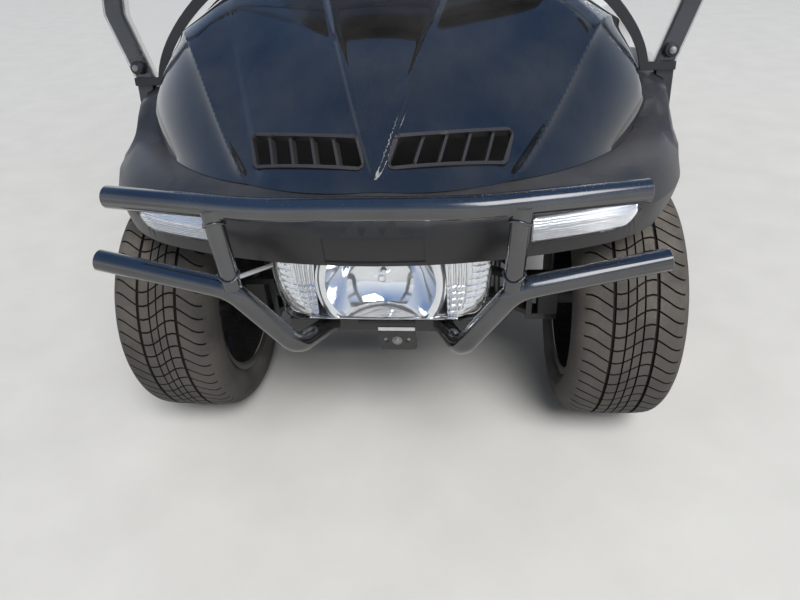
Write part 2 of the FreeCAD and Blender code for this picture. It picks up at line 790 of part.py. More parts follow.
def body_section(height, nose, corner, side, rear, half_rear, inset=0.0):
    """A closed outline at one height: a bowed front, a rounded corner to each side, a straight back.

    nose is the front's place on the centre line, corner and side are (half width, place) pairs where
    the corner's arc starts and ends. An inset moves every line inwards, for the inner skin.
    """
    def corner_point(pair, sign):
        return Vec(sign * (pair[0] - inset), float(front_axle) + pair[1] + inset, height)

    y0 = float(front_axle)
    start = corner_point(corner, 1)
    end = corner_point(side, 1)
    chord = end - start
    bulge = Vec(chord.y, -chord.x, 0).normalize() * (chord.Length * 0.16)
    middle = (start + end) * 0.5 + bulge
    left_back = Vec(half_rear - inset, y0 + rear, height)

    def flip(point):
        return Vec(-point.x, point.y, point.z)

    edges = [
        Part.Arc(flip(start), Vec(0, y0 + nose + inset, height), start),
        Part.Arc(start, middle, end),
        Part.LineSegment(end, left_back),
        Part.LineSegment(left_back, flip(left_back)),
        Part.LineSegment(flip(left_back), flip(end)),
        Part.Arc(flip(end), flip(middle), flip(start)),
    ]
    return Part.Wire([edge.toShape() for edge in edges])


# height, nose, inner ridge (half width, place), outer ridge, side, half width at the back, then the bow of the
# panel between the ridges and of the flank: heights as shares of the cowl's rise, places of its length, half
# widths of its own half width and bows of their chords
COWL_LEVELS = (
    (0.00, 0.000, 0.011, 0.003, 0.420, 0.068, 0.929, 0.524, 1.000, 0.085, 0.115),
    (0.27, 0.176, 0.059, 0.172, 0.558, 0.300, 0.965, 0.585, 0.993, 0.012, 0.095),
    (0.53, 0.341, 0.123, 0.330, 0.716, 0.492, 0.900, 0.664, 0.957, -0.022, 0.085),
    (0.77, 0.538, 0.182, 0.528, 0.697, 0.640, 0.781, 0.730, 0.836, -0.018, 0.085),
    (1.00, 0.779, 0.232, 0.776, 0.520, 0.836, 0.595, 0.891, 0.632, -0.010, 0.085),
)


def cowl_section(height, level, rear_extra, inset):
    """The cowl at one height: a middle panel, one to each side of it and a flank, creased at the ridges."""
    share, nose, inner_x, inner_y, outer_x, outer_y, side_x, side_y, back_x, panel_bow, flank_bow = level
    half = mm("cowl_half")
    start = float(front_axle) - mm("cowl_front")
    run = mm("cowl_front") + mm("cowl_back")
    spread = (back_x - side_x) * rear_extra / (run * (1 - side_y))

    def at(x, place, in_x, in_y):
        return Vec(x * half - in_x * inset, start + run * place + in_y * inset, height)

    inner = at(inner_x, inner_y, 0, 1)
    outer = at(outer_x, outer_y, 0.6, 0.8)
    side = at(side_x, side_y, 1, 0.3)
    back = at(back_x + spread, 1 + rear_extra / run, 1, 0)

    def flip(point):
        return Vec(-point.x, point.y, point.z)

    def bowed(first, last, share_out):
        chord = last - first
        out = Vec(chord.y, -chord.x, 0).normalize() * (chord.Length * share_out)
        return (first + last) * 0.5 + out

    panel = bowed(inner, outer, panel_bow)
    flank = bowed(outer, side, flank_bow)
    edges = [
        Part.Arc(flip(inner), at(0, nose, 0, 1), inner),
        Part.Arc(inner, panel, outer),
        Part.Arc(outer, flank, side),
        Part.LineSegment(side, back),
        Part.LineSegment(back, flip(back)),
        Part.LineSegment(flip(back), flip(side)),
        Part.Arc(flip(side), flip(flank), flip(outer)),
        Part.Arc(flip(outer), flip(panel), flip(inner)),
    ]
    return Part.Wire([edge.toShape() for edge in edges])


def cowl_solid(inset=0.0, rear_extra=0.0, drop=0.0):
    """The cowl's outer form, or its inner form where an inset is given."""
    base = mm("cowl_base")
    rise = mm("cowl_top") - base
    wires = [cowl_section(base + (rise - inset) * level[0], level, rear_extra, inset) for level in COWL_LEVELS]
    form = Part.makeLoft(wires, True, False)
    if drop:
        form = form.fuse(Part.Face(wires[0]).extrude(Vec(0, 0, -drop)))
    return form


def bumper_solid(inset=0.0, rear_extra=0.0, drop=0.0):
    """The bumper and fenders' outer form, or its inner form where an inset is given."""
    low = mm("skirt_bottom")
    foot = mm("bumper_bottom")
    top = mm("cowl_base") - 1
    rise = top - foot
    nose = -mm("bumper_front")
    half = mm("body_half")
    rear = mm("skirt_back") + rear_extra
    # height, nose, corner half width and place, side half width and place
    table = (
        (low - drop, nose + 26, half - 204, nose + 110, half - 26, 20),
        (foot, nose + 8, half - 210, nose + 84, half - 20, 10),
        (foot + rise * 0.5, nose, half - 204, nose + 76, half - 14, 10),
        (foot + rise * 0.8, nose + 16, half - 214, nose + 92, half - 20, 14),
        (top - inset * 0.5, nose + 62, half - 228, nose + 150, half - 44, 20),
    )
    wires = []
    for height, front, corner_half, corner_place, side_half, side_place in table:
        wires.append(body_section(height, front, (corner_half, corner_place), (side_half, side_place),
                                  rear, side_half + 14, inset))
    return Part.makeLoft(wires, True, True)


def fender_half(place):
    """Half the width over the fenders, at a place behind the front axle: the bumper's corner, then the side."""
    half = mm("body_half")
    if place >= 10:
        return half - 14 + 14 * (place - 10) / (mm("skirt_back") - 10)
    reach = mm("bumper_front") - 66
    radius = (190.0 ** 2 + reach ** 2) / (2 * 190.0)
    return half - 14 - radius + math.sqrt(radius ** 2 - (10 - place) ** 2)


def fender_rise(inset=0.0, rear_extra=0.0):
    """The fenders' crowns, which climb from the bumper's top to the foot of the front posts."""
    y0 = float(front_axle)
    inner_half = mm("cowl_half") - 60
    foot = mm("bumper_bottom") + 30 - (200 if inset > 0 else 0)
    crown = mm("fender_crown") - inset
    shoulder = mm("fender_shoulder") - inset
    base = mm("cowl_base") - 4 - inset
    # place, then heights at the outer side, at the shoulder, at the crown and at the inner edge
    table = (
        (-120 + inset, base - 44, base - 34, base - 20, base - 10),
        (-80, base - 28, base - 20, base - 10, base - 4),
        (-40, base - 16, base - 7, base, base + 2),
        (-10, base - 11, base + 2, base + 7, base + 8),
        (20, base - 3, base + 15, base + 20, base + 20),
        (48, shoulder - 24, crown - 42, crown - 32, crown - 31),
        (77, shoulder - 12, crown - 22, crown - 7, crown - 5),
        (112, shoulder - 4, crown - 14, crown - 1, crown + 4),
        (mm("skirt_back") + rear_extra, shoulder + 6, crown, crown + 14, crown + 24),
    )
    wires = []
    for place, outer_top, shoulder_top, crown_top, inner_top in table:
        half = fender_half(place) - inset - 3
        corners = [Vec(inner_half, y0 + place, foot), Vec(half, y0 + place, foot),
                   Vec(half, y0 + place, outer_top), Vec(half - 12, y0 + place, shoulder_top),
                   Vec(half - 40, y0 + place, crown_top), Vec(inner_half, y0 + place, inner_top)]
        wires.append(Part.makePolygon(corners + [corners[0]]))
    side = Part.makeLoft(wires, True, True)
    return Part.makeCompound([side, side.mirror(Vec(0, 0, 0), X_AXIS)])


def front_form(inset=0.0, rear_extra=0.0, drop=0.0):
    return bumper_solid(inset, rear_extra, drop).fuse(fender_rise(inset, rear_extra).Solids)


def big_block(x, y, z):
    """A plain cutting box from low and high limits, Y measured behind the front axle."""
    low = Vec(x[0], float(front_axle) + y[0], z[0])
    return Part.makeBox(x[1] - x[0], y[1] - y[0], z[1] - z[0], low)


def wheel_arch(axle_y):
    """A cylinder across the cart that opens both wheel arches of an axle."""
    centre = Vec(-1000, float(axle_y), float(axle_height) + mm("arch_lift"))
    return Part.makeCylinder(mm("arch_radius"), 2000, centre, X_AXIS)


def vent_frame(side):
    """Where a vent lies on the cowl: its middle, and its turn from flat to the cowl's slope."""
    middle = Vec(side * mm("vent_centre"), float(front_axle) - mm("cowl_front") + 72, mm("cowl_base") + 54)
    yaw = FreeCAD.Rotation(Z_AXIS, side * 10)
    tilt = FreeCAD.Rotation(X_AXIS, 40)
    return FreeCAD.Placement(middle, yaw.multiply(tilt))


def vent_prism(side, grow, depth_in, depth_out):
    """A vent's rounded outline, both ends slanted, drawn out along the cowl's slope."""
    half = mm("vent_half") + grow
    rise = mm("vent_height") / 2 + grow
    corners = [
        Vec(-side * (half + 2), 6 - rise, -depth_in), Vec(side * (half - 24), -rise, -depth_in),
        Vec(side * (half + 4), rise + 5, -depth_in), Vec(-side * (half - 22), rise + 3, -depth_in)]
    face = Part.Face(Part.makePolygon(corners + [corners[0]]))
    prism = face.extrude(Vec(0, 0, depth_in + depth_out))
    upright = [edge for edge in prism.Edges if abs(edge.tangentAt(edge.FirstParameter).z) > 0.99]
    prism = prism.makeFillet(14 + grow, upright)
    prism.Placement = vent_frame(side).multiply(prism.Placement)
    return prism


def front_cowl():
    """The glossy cowl: one shell, open below and behind, with two vents in its nose."""
    skin = cowl_solid().cut(cowl_solid(mm("cowl_wall"), 40, 30))
    for side in (1, -1):
        skin = skin.cut(vent_prism(side, mm("seat_gap"), 60, 60))
    keep(solid_of(skin), "front_cowl")


front_cowl()


def vent_grilles():
    """A bezel in each vent that stands a little proud of the cowl, with four leaning slats behind it."""
    grilles = []
    low = cowl_solid(mm("cowl_wall") + 16, 40, 30)
    high = cowl_solid(-3.0, 40, 30)
    for side in (1, -1):
        band = vent_prism(side, 0, 60, 60).cut(vent_prism(side, -7, 70, 70))
        bezel = band.common(high).cut(low)
        slats = []
        for number in range(4):
            middle = side * (mm("vent_half") * (-0.47 + 0.36 * number))
            slat = Part.makeBox(mm("slat_thickness"), mm("vent_height") + 30, 60,
                                Vec(middle - 2, -mm("vent_height") / 2 - 15, -40))
            slat.rotate(Vec(middle, 0, 0), Z_AXIS, -side * 22)
            slat.rotate(Vec(middle, 0, 0), Y_AXIS, side * 16)
            slat.Placement = vent_frame(side).multiply(slat.Placement)
            slats.append(slat.common(vent_prism(side, -2, 60, 60)))
        recessed = Part.makeCompound(slats).common(cowl_solid(2.0, 40, 30)).cut(low)
        grilles.append(bezel.fuse(recessed.Solids))
    keep(solid_of(Part.makeCompound(grilles)), "vent_grilles")


vent_grilles()


def side_lamp_region():
    """The blocks that the side lamps fill, one each side, with a wide curve at the outer lower corner."""
    low, high = mm("side_lamp_inner"), mm("side_lamp_outer")
    foot = mm("side_lamp_foot")
    left = big_block((low, high), (-mm("bumper_front") - 30, -150), (foot, foot + mm("side_lamp_height")))
    sharp = []
    for edge in left.Edges:
        point = edge.Vertexes[0].Point
        if abs(edge.tangentAt(edge.FirstParameter).y) > 0.99 and (point.x < high - 1 or point.z > foot + 1):
            sharp.append(edge)
    left = left.makeFillet(10, sharp)
    wide = [edge for edge in left.Edges if abs(edge.tangentAt(edge.FirstParameter).y) > 0.99
            and edge.Vertexes[0].Point.x > high - 1 and edge.Vertexes[0].Point.z < foot + 1]
    left = left.makeFillet(32, wide)
    return Part.makeCompound([left, left.mirror(Vec(0, 0, 0), X_AXIS)])


def front_bumper():
    """Bumper and both front fenders in one moulding, open to the wheels, below and behind."""
    skin = front_form().cut(front_form(mm("bumper_wall"), 60, 60))
    skin = skin.cut(big_block((-1000, 1000), (-600, 0), (0, mm("bumper_bottom"))))
    skin = skin.cut(wheel_arch(front_axle))
    skin = skin.cut(cowl_solid(-mm("seat_gap"), 200)).cut(cowl_solid(12, 200, 60))
    recess = bumper_solid(-20).cut(bumper_solid(mm("recess_depth")))
    recess = recess.common(big_block((-mm("plate_recess"), mm("plate_recess")), (-600, -200),
                                     (mm("bumper_bottom") + 7, mm("bumper_bottom") + 59)))
    skin = skin.cut(recess).cut(side_lamp_region())
    keep(solid_of(largest(skin)), "front_bumper")


def largest(shape):
    """The biggest solid of a cut shape, without the slivers that a cut can leave."""
    return sorted(shape.Solids, key=lambda solid: solid.Volume)[-1]


front_bumper()


def side_lamps():
    """Lenses that follow the bumper's face."""
    outer = bumper_solid(-1.5)
    inner = bumper_solid(mm("bumper_wall") - 2)
    band = outer.cut(inner)
    lamps = []
    for region in side_lamp_region().Solids:
        gap = mm("seat_gap")
        trimmed = region.makeOffsetShape(-gap, 0.01)
        lamps.append(largest(band.common(trimmed)))
    keep(solid_of(Part.makeCompound(lamps)), "side_lamps")


side_lamps()


# Headlamp

def lamp_section(height, half, front, depth, inset=0.0):
    y0 = float(front_axle) - front
    w = half - inset
    corner = min(56.0, half * 0.32)
    points = [Vec(-w, y0 + depth, height), Vec(-w, y0 + 30 + inset, height), Vec(-w + corner, y0 + 6 + inset, height)]
    right = [Vec(-p.x, p.y, p.z) for p in reversed(points)]
    round_end = (points[1] + points[2]) * 0.5 + Vec(-6, -7, 0)
    edges = [Part.LineSegment(points[0], points[1]), Part.Arc(points[1], round_end, points[2]),
             Part.Arc(points[2], Vec(0, y0 + inset, height), right[0]),
             Part.Arc(right[0], Vec(-round_end.x, round_end.y, height), right[1]),
             Part.LineSegment(right[1], right[2]), Part.LineSegment(right[2], points[0])]
    return Part.Wire([edge.toShape() for edge in edges])


def lamp_solid(inset=0.0):
    """The headlamp's form: full at the sides, drawn in towards its foot."""
    low, high = mm("lamp_foot"), mm("bumper_bottom") + 8
    wide, narrow = mm("lamp_top_half"), mm("lamp_low_half")
    depth = mm("lamp_depth")
    front = mm("lamp_front")
    spread = wide - narrow
    table = ((0.0, narrow, front - 12), (0.14, narrow + spread * 0.6, front - 2),
             (0.42, narrow + spread * 0.86, front + 2), (1.0, wide, front + 8))
    wires = [lamp_section(low + inset + (high - low - 2 * inset) * share, half, y, depth, inset)
             for share, half, y in table]
    return Part.makeLoft(wires, True, False)


def headlamp():
    """A clear lens over a housing with one wide bowl between two side pockets."""
    split = -mm("lamp_front") + 42
    shell = lamp_solid().cut(lamp_solid(mm("lens_wall")))
    front_half = big_block((-400, 400), (-500, split), (0, 1000))
    keep(solid_of(largest(shell.common(front_half))), "headlamp_lens")
    back_half = big_block((-400, 400), (split + mm("seat_gap"), 0), (0, 1000))
    housing = lamp_solid().common(back_half)
    middle = mm("lamp_foot") + 88
    y0 = float(front_axle) + split
    bowl = Part.makeSphere(104, Vec(0, y0 - 64, middle))
    pockets = []
    for side in (1, -1):
        near = [Vec(side * 100, y0 - 1, middle - 46), Vec(side * 186, y0 - 1, middle - 24),
                Vec(side * 194, y0 - 1, middle + 58), Vec(side * 100, y0 - 1, middle + 58)]
        far = [Vec(side * 112, y0 + 26, middle - 30), Vec(side * 160, y0 + 26, middle - 12),
               Vec(side * 166, y0 + 26, middle + 44), Vec(side * 112, y0 + 26, middle + 44)]
        pockets.append(Part.makeLoft([Part.makePolygon(near + [near[0]]), Part.makePolygon(far + [far[0]])],
                                     True, True))
    keep(solid_of(largest(housing.cut(bowl).cut(pockets[0]).cut(pockets[1]))), "headlamp_body")


headlamp()


# Posts, windscreen and roof

lean = math.radians(mm("screen_lean"))


def screen_point(x, height, off=0.0):
    """A point on the windscreen's plane, or that far behind it, at a height."""
    rise = height - mm("screen_foot")
    return Vec(x, float(front_axle) + mm("screen_foot_y") + rise * math.tan(lean) + off / math.cos(lean), height)


def screen_sheet(outline, off, thickness):
    """A flat plate in the windscreen's slope from (half width, height) corners, that far behind its face."""
    corners = [screen_point(x, height, off) for x, height in outline]
    face = Part.Face(Part.makePolygon(corners + [corners[0]]))
    return face.extrude(Vec(0, math.cos(lean), -math.sin(lean)) * thickness)


def screen_half(height):
    """Half the windscreen's width at a height: spreading up to the elbow, then drawing in to the roof."""
    foot, elbow, top = mm("screen_foot"), mm("post_elbow"), mm("roof_underside")
    foot_half = mm("body_half") + mm("post_offset")
    elbow_half = foot_half + mm("post_flare")
    if height <= foot:
        return foot_half
    if height <= elbow:
        return foot_half + (elbow_half - foot_half) * (height - foot) / (elbow - foot)
    return elbow_half + (mm("post_top_half") - elbow_half) * (height - elbow) / (top - elbow)


def front_posts():
    """A flat-sided post behind each edge of the windscreen, from the fender's crown to the roof."""
    low, elbow, high = mm("bumper_bottom"), mm("post_elbow"), mm("roof_underside") - mm("seat_gap")
    width = mm("post_width")
    outer = [(screen_half(z), z) for z in (low, mm("screen_foot"), elbow, high + 20)]
    inner = [(x - width, z) for x, z in reversed(outer)]
    post = screen_sheet(outer + inner, mm("pane_thickness") + mm("seat_gap"), mm("post_depth"))
    post = post.cut(big_block((0, 900), (-400, 2400), (high, 2400)))
    post = largest(post.cut(front_form(-mm("seat_gap"))))
    keep(both_sides(solid_of(post)), "front_posts")


front_posts()


def windscreen():
    """Two clear panes with a strip between them, and a seal that follows the cowl under the lower one."""
    foot, elbow, top = mm("screen_foot"), mm("post_elbow"), mm("roof_underside") - 2
    split = foot + (top - foot) * mm("screen_split")
    strip = mm("joint_height") / 2
    gap = mm("seat_gap")
    thick = mm("pane_thickness")

    def band(*heights):
        right = [(screen_half(z), z) for z in heights]
        return right + [(-x, z) for x, z in reversed(right)]

    grow = mm("seal_offset") + mm("seal_width")
    lower = screen_sheet(band(foot, elbow, split - strip), 0, thick)
    keep(solid_of(largest(lower.cut(cowl_solid(-grow, 300, 300)))), "windscreen_lower")
    keep(solid_of(screen_sheet(band(split + strip, top), 0, thick)), "windscreen_upper")
    keep(solid_of(screen_sheet(band(split - strip + gap, split + strip - gap), 0, thick)), "windscreen_joint")
    width = mm("seal_width")
    bead = (thick - mm("seal_thickness")) / 2
    reach = mm("cowl_half") + 30
    around = screen_sheet([(-reach, foot - width), (reach, foot - width),
                           (reach, elbow + 200), (-reach, elbow + 200)], bead,
                          mm("seal_thickness"))
    around = around.common(cowl_solid(gap - grow, 300, 300))
    foot_strip = screen_sheet(band(foot - width, foot - gap), bead, thick - bead)
    seal = around.fuse(foot_strip).cut(cowl_solid(-mm("seal_offset"), 300, 300))
    seal = seal.cut(front_form(-gap))
    keep(solid_of(seal.removeSplitter()), "windscreen_seal")


windscreen()


def screen_knobs():
    """Round knobs with a bolt head on the lower corners of both panes."""
    knobs = []
    foot, top = mm("screen_foot"), mm("roof_underside")
    through = Vec(0, -math.cos(lean), math.sin(lean))
    split = foot + (top - foot) * mm("screen_split")
    for height in (foot + 20, split + 34, split - 60):
        for side in (1, -1):
            at = screen_point(side * (screen_half(height) - 22), height, -mm("seat_gap"))
            knob = Part.makeCylinder(mm("knob_radius"), mm("knob_height"), at, through)
            knob = knob.makeFillet(3, [edge for edge in knob.Edges if edge.Curve.TypeId == "Part::GeomCircle"
                                       and (edge.CenterOfMass - at).Length > 5])
            bolt = Part.makeCylinder(mm("knob_radius") * 0.42, mm("knob_height") + 5, at, through)
            knobs.append(knob.fuse(bolt))
    keep(solid_of(Part.makeCompound(knobs)), "screen_knobs")


screen_knobs()


def roof():
    """A moulded roof: a crowned skin with a deep rim, open below."""
    low = mm("roof_underside")
    high = low + mm("roof_thickness")

    def level(height, inset):
        y0 = float(front_axle) + mm("roof_front") + inset
        y1 = float(front_axle) + mm("roof_back") - inset
        half = mm("roof_half") - inset
        corner = max(20.0, 110.0 - inset)
        corners = [Vec(-half, y0, height), Vec(half, y0, height), Vec(half, y1, height), Vec(-half, y1, height)]
        slab = Part.Face(Part.makePolygon(corners + [corners[0]])).extrude(Z_AXIS)
        upright = [edge for edge in slab.Edges if abs(edge.tangentAt(edge.FirstParameter).z) > 0.99]
        slab = slab.makeFillet(corner, upright)
        return [face for face in slab.Faces if face.CenterOfMass.z < height + 0.01][0].OuterWire

    outer = Part.makeLoft([level(low, 0), level(low + 34, 8), level(high, 80)], True, True)
    wall = mm("roof_wall")
    inner = Part.makeLoft([level(low - 1, wall + 20), level(low + 30, wall + 26), level(high - wall, 92)],
                          True, True)
    front_head = screen_point(0, low).y - float(front_axle) + mm("pane_thickness")
    ribs = [big_block((-mm("roof_half") + 30, mm("roof_half") - 30), (place_y - 12, place_y + 48),
                      (low, high - wall - 1))
            for place_y in (front_head, mm("rear_post_head") - 18)]
    skin = outer.cut(inner).fuse([rib.common(outer) for rib in ribs])
    keep(solid_of(skin.removeSplitter()), "roof")


roof()


def rear_posts():
    """Two posts behind the seat that rise to the roof's rear."""
    y0 = float(front_axle)
    gap = mm("seat_gap")
    low, high = mm("rear_body_top") + gap, mm("roof_underside") - gap
    foot = Vec(mm("rear_post_half"), y0 + mm("rear_post_y"), low)
    head = Vec(mm("rear_post_half"), y0 + mm("rear_post_head"), high)
    post = strut(foot - (head - foot) * 0.1, head + (head - foot) * 0.1, mm("post_width"), mm("post_depth"))
    post = post.common(big_block((0, 900), (-400, 2400), (low, high)))
    keep(both_sides(solid_of(post)), "rear_posts")


rear_posts()


# Cabin

def dashboard():
    """A moulded dash behind the cowl with open bins either side of the middle."""
    front = back(size("cowl_back") + size("seat_gap"))
    top = size("cowl_top") - 6
    rear = back(size("dash_back"))
    body = side_profile("dash_form", [
        (front, size("dash_bottom")), (rear - 40, size("dash_bottom")), (rear, size("dash_bottom") + 60),
        (rear, top - 70), (rear - 46, top), (front, top)], size("dash_half") * 2)
    bins = []
    for low, high in ((-440, -190), (-160, -40), (345, 470)):
        bins.append(block((Dim(low, str(low)), Dim(high, str(high))), (rear - size("bin_depth"), rear + 20),
                          (size("dash_bottom") + 70, top - 84)))
    axis = column_axis()
    tunnel = solid_of(Part.makeCylinder(mm("column_radius") + 16, 900, column_foot(), axis))
    corners = solid_of(cowl_solid(0.3, 400, 300).common(big_block((-700, 700), (250, 700), (0, 1300))))
    keep(overlap(less(body, *bins, tunnel), corners), "dashboard")


def column_axis():
    slope = math.radians(mm("column_lean"))
    return Vec(0, math.sin(slope), math.cos(slope))


def wheel_hub():
    return Vec(mm("wheel_centre_x"), float(front_axle) + mm("wheel_centre_y"), mm("wheel_centre_z"))


def column_foot():
    return wheel_hub() - column_axis() * (mm("column_length") + 40)


def toe_board():
    """The toe board's upper face as a frame: X across, Y down the board, Z towards the driver."""
    rise = mm("toe_top") - mm("floor_top")
    run = rise * 0.7 + 10
    foot = Vec(0, float(front_axle) + mm("toe_foot") + 10, mm("floor_top"))
    return FreeCAD.Placement(foot, FreeCAD.Rotation(X_AXIS, -math.degrees(math.atan2(rise, run))))


def behind_toe_board():
    """Everything ahead of and under the toe board's face, less the clearance kept from it."""
    space = Part.makeBox(3000, 3000, 1000, Vec(-1500, -1500, -1000 + mm("seat_gap")))
    space.Placement = toe_board().multiply(space.Placement)
    return space


dashboard()


def steering_column():
    """The jacket from the toe board up to the steering wheel, with a bearing bore at its top."""
    axis = column_axis()
    jacket = Part.makeCylinder(mm("column_radius"), mm("column_length"), column_foot(), axis)
    top = column_foot() + axis * (mm("column_length") - 60)
    collar = Part.makeCylinder(mm("column_radius") + 10, 60, top, axis)
    bore = Part.makeCylinder(10 + mm("running_gap"), 200, column_foot() + axis * (mm("column_length") - 100), axis)
    column = jacket.fuse(collar).cut(bore).removeSplitter()
    keep(solid_of(largest(column.cut(behind_toe_board()))), "steering_column")


steering_column()


def steering_wheel():
    """A round grip, three spokes, a hub and the shaft that turns in the column."""
    axis = column_axis()
    hub = wheel_hub()
    rim = Part.makeTorus(mm("steering_rim"), mm("steering_grip"), hub + axis * 10, axis)
    boss = Part.makeCylinder(46, 24, hub - axis * 18, axis)
    shaft = Part.makeCylinder(10, 90, hub - axis * 100, axis)
    spokes = []
    for angle in (90, 210, 330):
        spoke = Part.makeBox(mm("steering_rim") - 6, 30, 10, Vec(0, -15, -5))
        spoke.Placement = FreeCAD.Placement(hub, FreeCAD.Rotation(X_AXIS, -mm("column_lean")).multiply(
            FreeCAD.Rotation(Z_AXIS, angle)))
        spokes.append(spoke)
    keep(solid_of(rim.fuse([boss, shaft] + spokes).removeSplitter()), "steering_wheel")


steering_wheel()


def floor_pan():
    """A flat floor that turns up into a toe board at the front."""
    top = size("floor_top")
    low = top - size("floor_thickness")
    foot = back(size("toe_foot"))
    rise = size("toe_top") - top
    body = side_profile("floor_form", [
        (foot, low), (back(size("pod_front") - size("seat_gap")), low), (back(size("pod_front") - size("seat_gap")), top),
        (foot + 10, top), (foot - rise * 0.7, size("toe_top")), (foot - rise * 0.7 - 26, size("toe_top") - 10)],
        size("floor_half") * 2)
    trims = []
    for side in (1, -1):
        ends = sorted((side * size("toe_half"), side * (size("floor_half") + 10)), key=float)
        trims.append(block(ends, (back(0), back(size("skirt_back") + 20)),
                           (size("bumper_bottom"), size("toe_top") + 10)))
    keep(less(body, *trims), "floor")


floor_pan()


def pedals():
    """Brake and accelerator pads, each on its lever up through the floor."""
    for x, half, name in ((340, 48, "brake_pedal"), (222, 34, "accelerator_pedal")):
        pad = Part.makeBox(half * 2, 92, 12, Vec(x - half, -188, 62))
        arm = strut(Vec(x, -96, -10), Vec(x, -142, 66), 20, 12)
        lever = pad.fuse(arm)
        lever.Placement = toe_board().multiply(lever.Placement)
        keep(solid_of(largest(lever.cut(behind_toe_board()))), name)


pedals()


def rocker_panels():
    """A sill along each side under the door opening."""
    outer = size("body_half")
    inner = size("floor_half") + size("seat_gap")
    panel = block((inner, outer), (back(size("skirt_back") + 4), back(size("pod_back") - 4)),
                  (size("rocker_bottom"), size("rocker_top")))
    panel = rounded(panel, 14, lambda edge: runs_along(Y_AXIS)(edge) and edge.CenterOfMass.x > float(outer) - 1)
    keep(both_sides(panel), "rocker_panels")


rocker_panels()


def seat_pod():
    """The hollow box under the seat, open above for the lid."""
    wall = size("pod_wall")
    half = size("floor_half")
    gap = size("seat_gap")
    shell = block((-half, half), (back(size("pod_front")), back(size("pod_back"))), (rail_high + gap, size("pod_top")))
    hollow = block((wall - half, half - wall), (back(size("pod_front")) + wall, back(size("pod_back")) - wall),
                   (rail_high + gap + wall, size("pod_top") + 40))
    keep(less(shell, hollow), "seat_pod")


seat_pod()


def battery_block():
    """The battery set as one plain block on the pod's floor."""
    half = size("battery_width") / 2
    low = rail_high + size("seat_gap") * 2 + size("pod_wall")
    start = back(size("pod_front")) + 60
    keep(block((-half, half), (start, start + size("battery_length")), (low, low + size("battery_height"))),
         "battery_block")


battery_block()


def seat_bottom():
    """The lid: a board with the bench cushion on it, and two hinge eyes at its front edge."""
    half = size("cushion_half")
    low = size("pod_top") + size("seat_gap")
    start = back(size("lid_pivot_y")) - 8
    top = low + size("seat_board")
    end = start + size("cushion_depth")
    pivot = back(size("lid_pivot_y"))
    eyes = []
    bores = []
    for side in (1, -1):
        x = side * size("hinge_x")
        eyes.append(rod(size("hinge_barrel"), 29, (x - 14.5, pivot, size("lid_pivot_z")), X_AXIS))
        eyes.append(block((x - 14.5, x + 14.5), (pivot, start + 30), (low, low + size("hinge_barrel"))))
        bores.append(rod(size("hinge_pin") + size("running_gap"), 60, (x - 30, pivot, size("lid_pivot_z")), X_AXIS))
    board = block((24 - half, half - 24), (start + 20, end - 12), (low, top))
    keep(less(joined(board, *eyes), *bores), "seat_board")
    cushion = block((-half, half), (start, end), (top + size("seat_gap"), top + size("cushion_thickness")))
    cushion = rounded(cushion, 34, lambda edge: edge.CenterOfMass.z > float(top) + 40)
    keep(cushion, "seat_cushion")


seat_bottom()


def seat_hinges():
    """A leaf on the pod's front face under each hinge eye, with two barrels and the pin."""
    pivot = back(size("lid_pivot_y"))
    face = back(size("pod_front")) - size("seat_gap")
    height = size("lid_pivot_z")
    hinges = []
    for side in (1, -1):
        x = side * size("hinge_x")
        pieces = [block((x - 40, x + 40), (face - 3, face), (height - 44, height - 2.5))]
        pieces.append(rod(size("hinge_pin"), 80, (x - 40, pivot, height), X_AXIS))
        for low in (x - 40, x + 15):
            pieces.append(rod(size("hinge_barrel"), 25, (low, pivot, height), X_AXIS))
            pieces.append(block((low, low + 25), (pivot - 2, face), (height - 9, height - 2.5)))
        hinges.append(joined(*pieces))
    keep(group(*hinges), "seat_hinges")


seat_hinges()

back_slope = math.radians(mm("back_lean"))


def backrest():
    """The backrest cushion on its board, leaning back."""
    half = mm("cushion_half")
    base = Vec(0, float(front_axle) + mm("back_y"), mm("back_foot"))
    cushion = Part.makeBox(half * 2, mm("back_thickness"), mm("back_height"), Vec(-half, 0, 0))
    cushion = cushion.makeFillet(32, [edge for edge in cushion.Edges if edge.CenterOfMass.y < mm("back_thickness") - 1])
    board = Part.makeBox(half * 2 - 40, 10, mm("back_height") - 30,
                         Vec(20 - half, mm("back_thickness") + mm("seat_gap"), 15))
    turn = FreeCAD.Placement(base, FreeCAD.Rotation(X_AXIS, -mm("back_lean")))
    for shape, label in ((cushion, "back_cushion"), (board, "back_board")):
        shape.Placement = turn
        keep(solid_of(shape), label)


backrest()


def back_point(x, up, behind):
    """A point in the backrest's own slope: up along it and behind its front face."""
    base = Vec(x, float(front_axle) + mm("back_y"), mm("back_foot"))
    along = Vec(0, math.sin(back_slope), math.cos(back_slope))
    through = Vec(0, math.cos(back_slope), -math.sin(back_slope))
    return base + along * up + through * behind


def back_frame():
    """Two bars behind the backrest from the pod's rear edge, tied across to the rear posts."""
    behind = mm("back_thickness") + 10 + mm("seat_gap") * 2 + 15
    bars = []
    for side in (1, -1):
        top = back_point(side * 250, mm("back_height") - 60, behind)
        low = back_point(side * 250, -215, behind)
        bars.append(strut(low, top, 40, 30))
    cross_at = back_point(0, 150, behind + 15)
    reach = mm("rear_post_half") - mm("post_width") / 2 - mm("seat_gap")
    cross = Part.makeBox(reach * 2, 30, 40, Vec(-reach, cross_at.y - 6, cross_at.z - 20))
    frame_bars = bars[0].fuse([bars[1], cross])
    frame_bars = frame_bars.cut(big_block((-600, 600), (1000, 1600), (0, mm("rear_body_top") + mm("seat_gap"))))
    keep(solid_of(frame_bars), "back_frame")


back_frame()


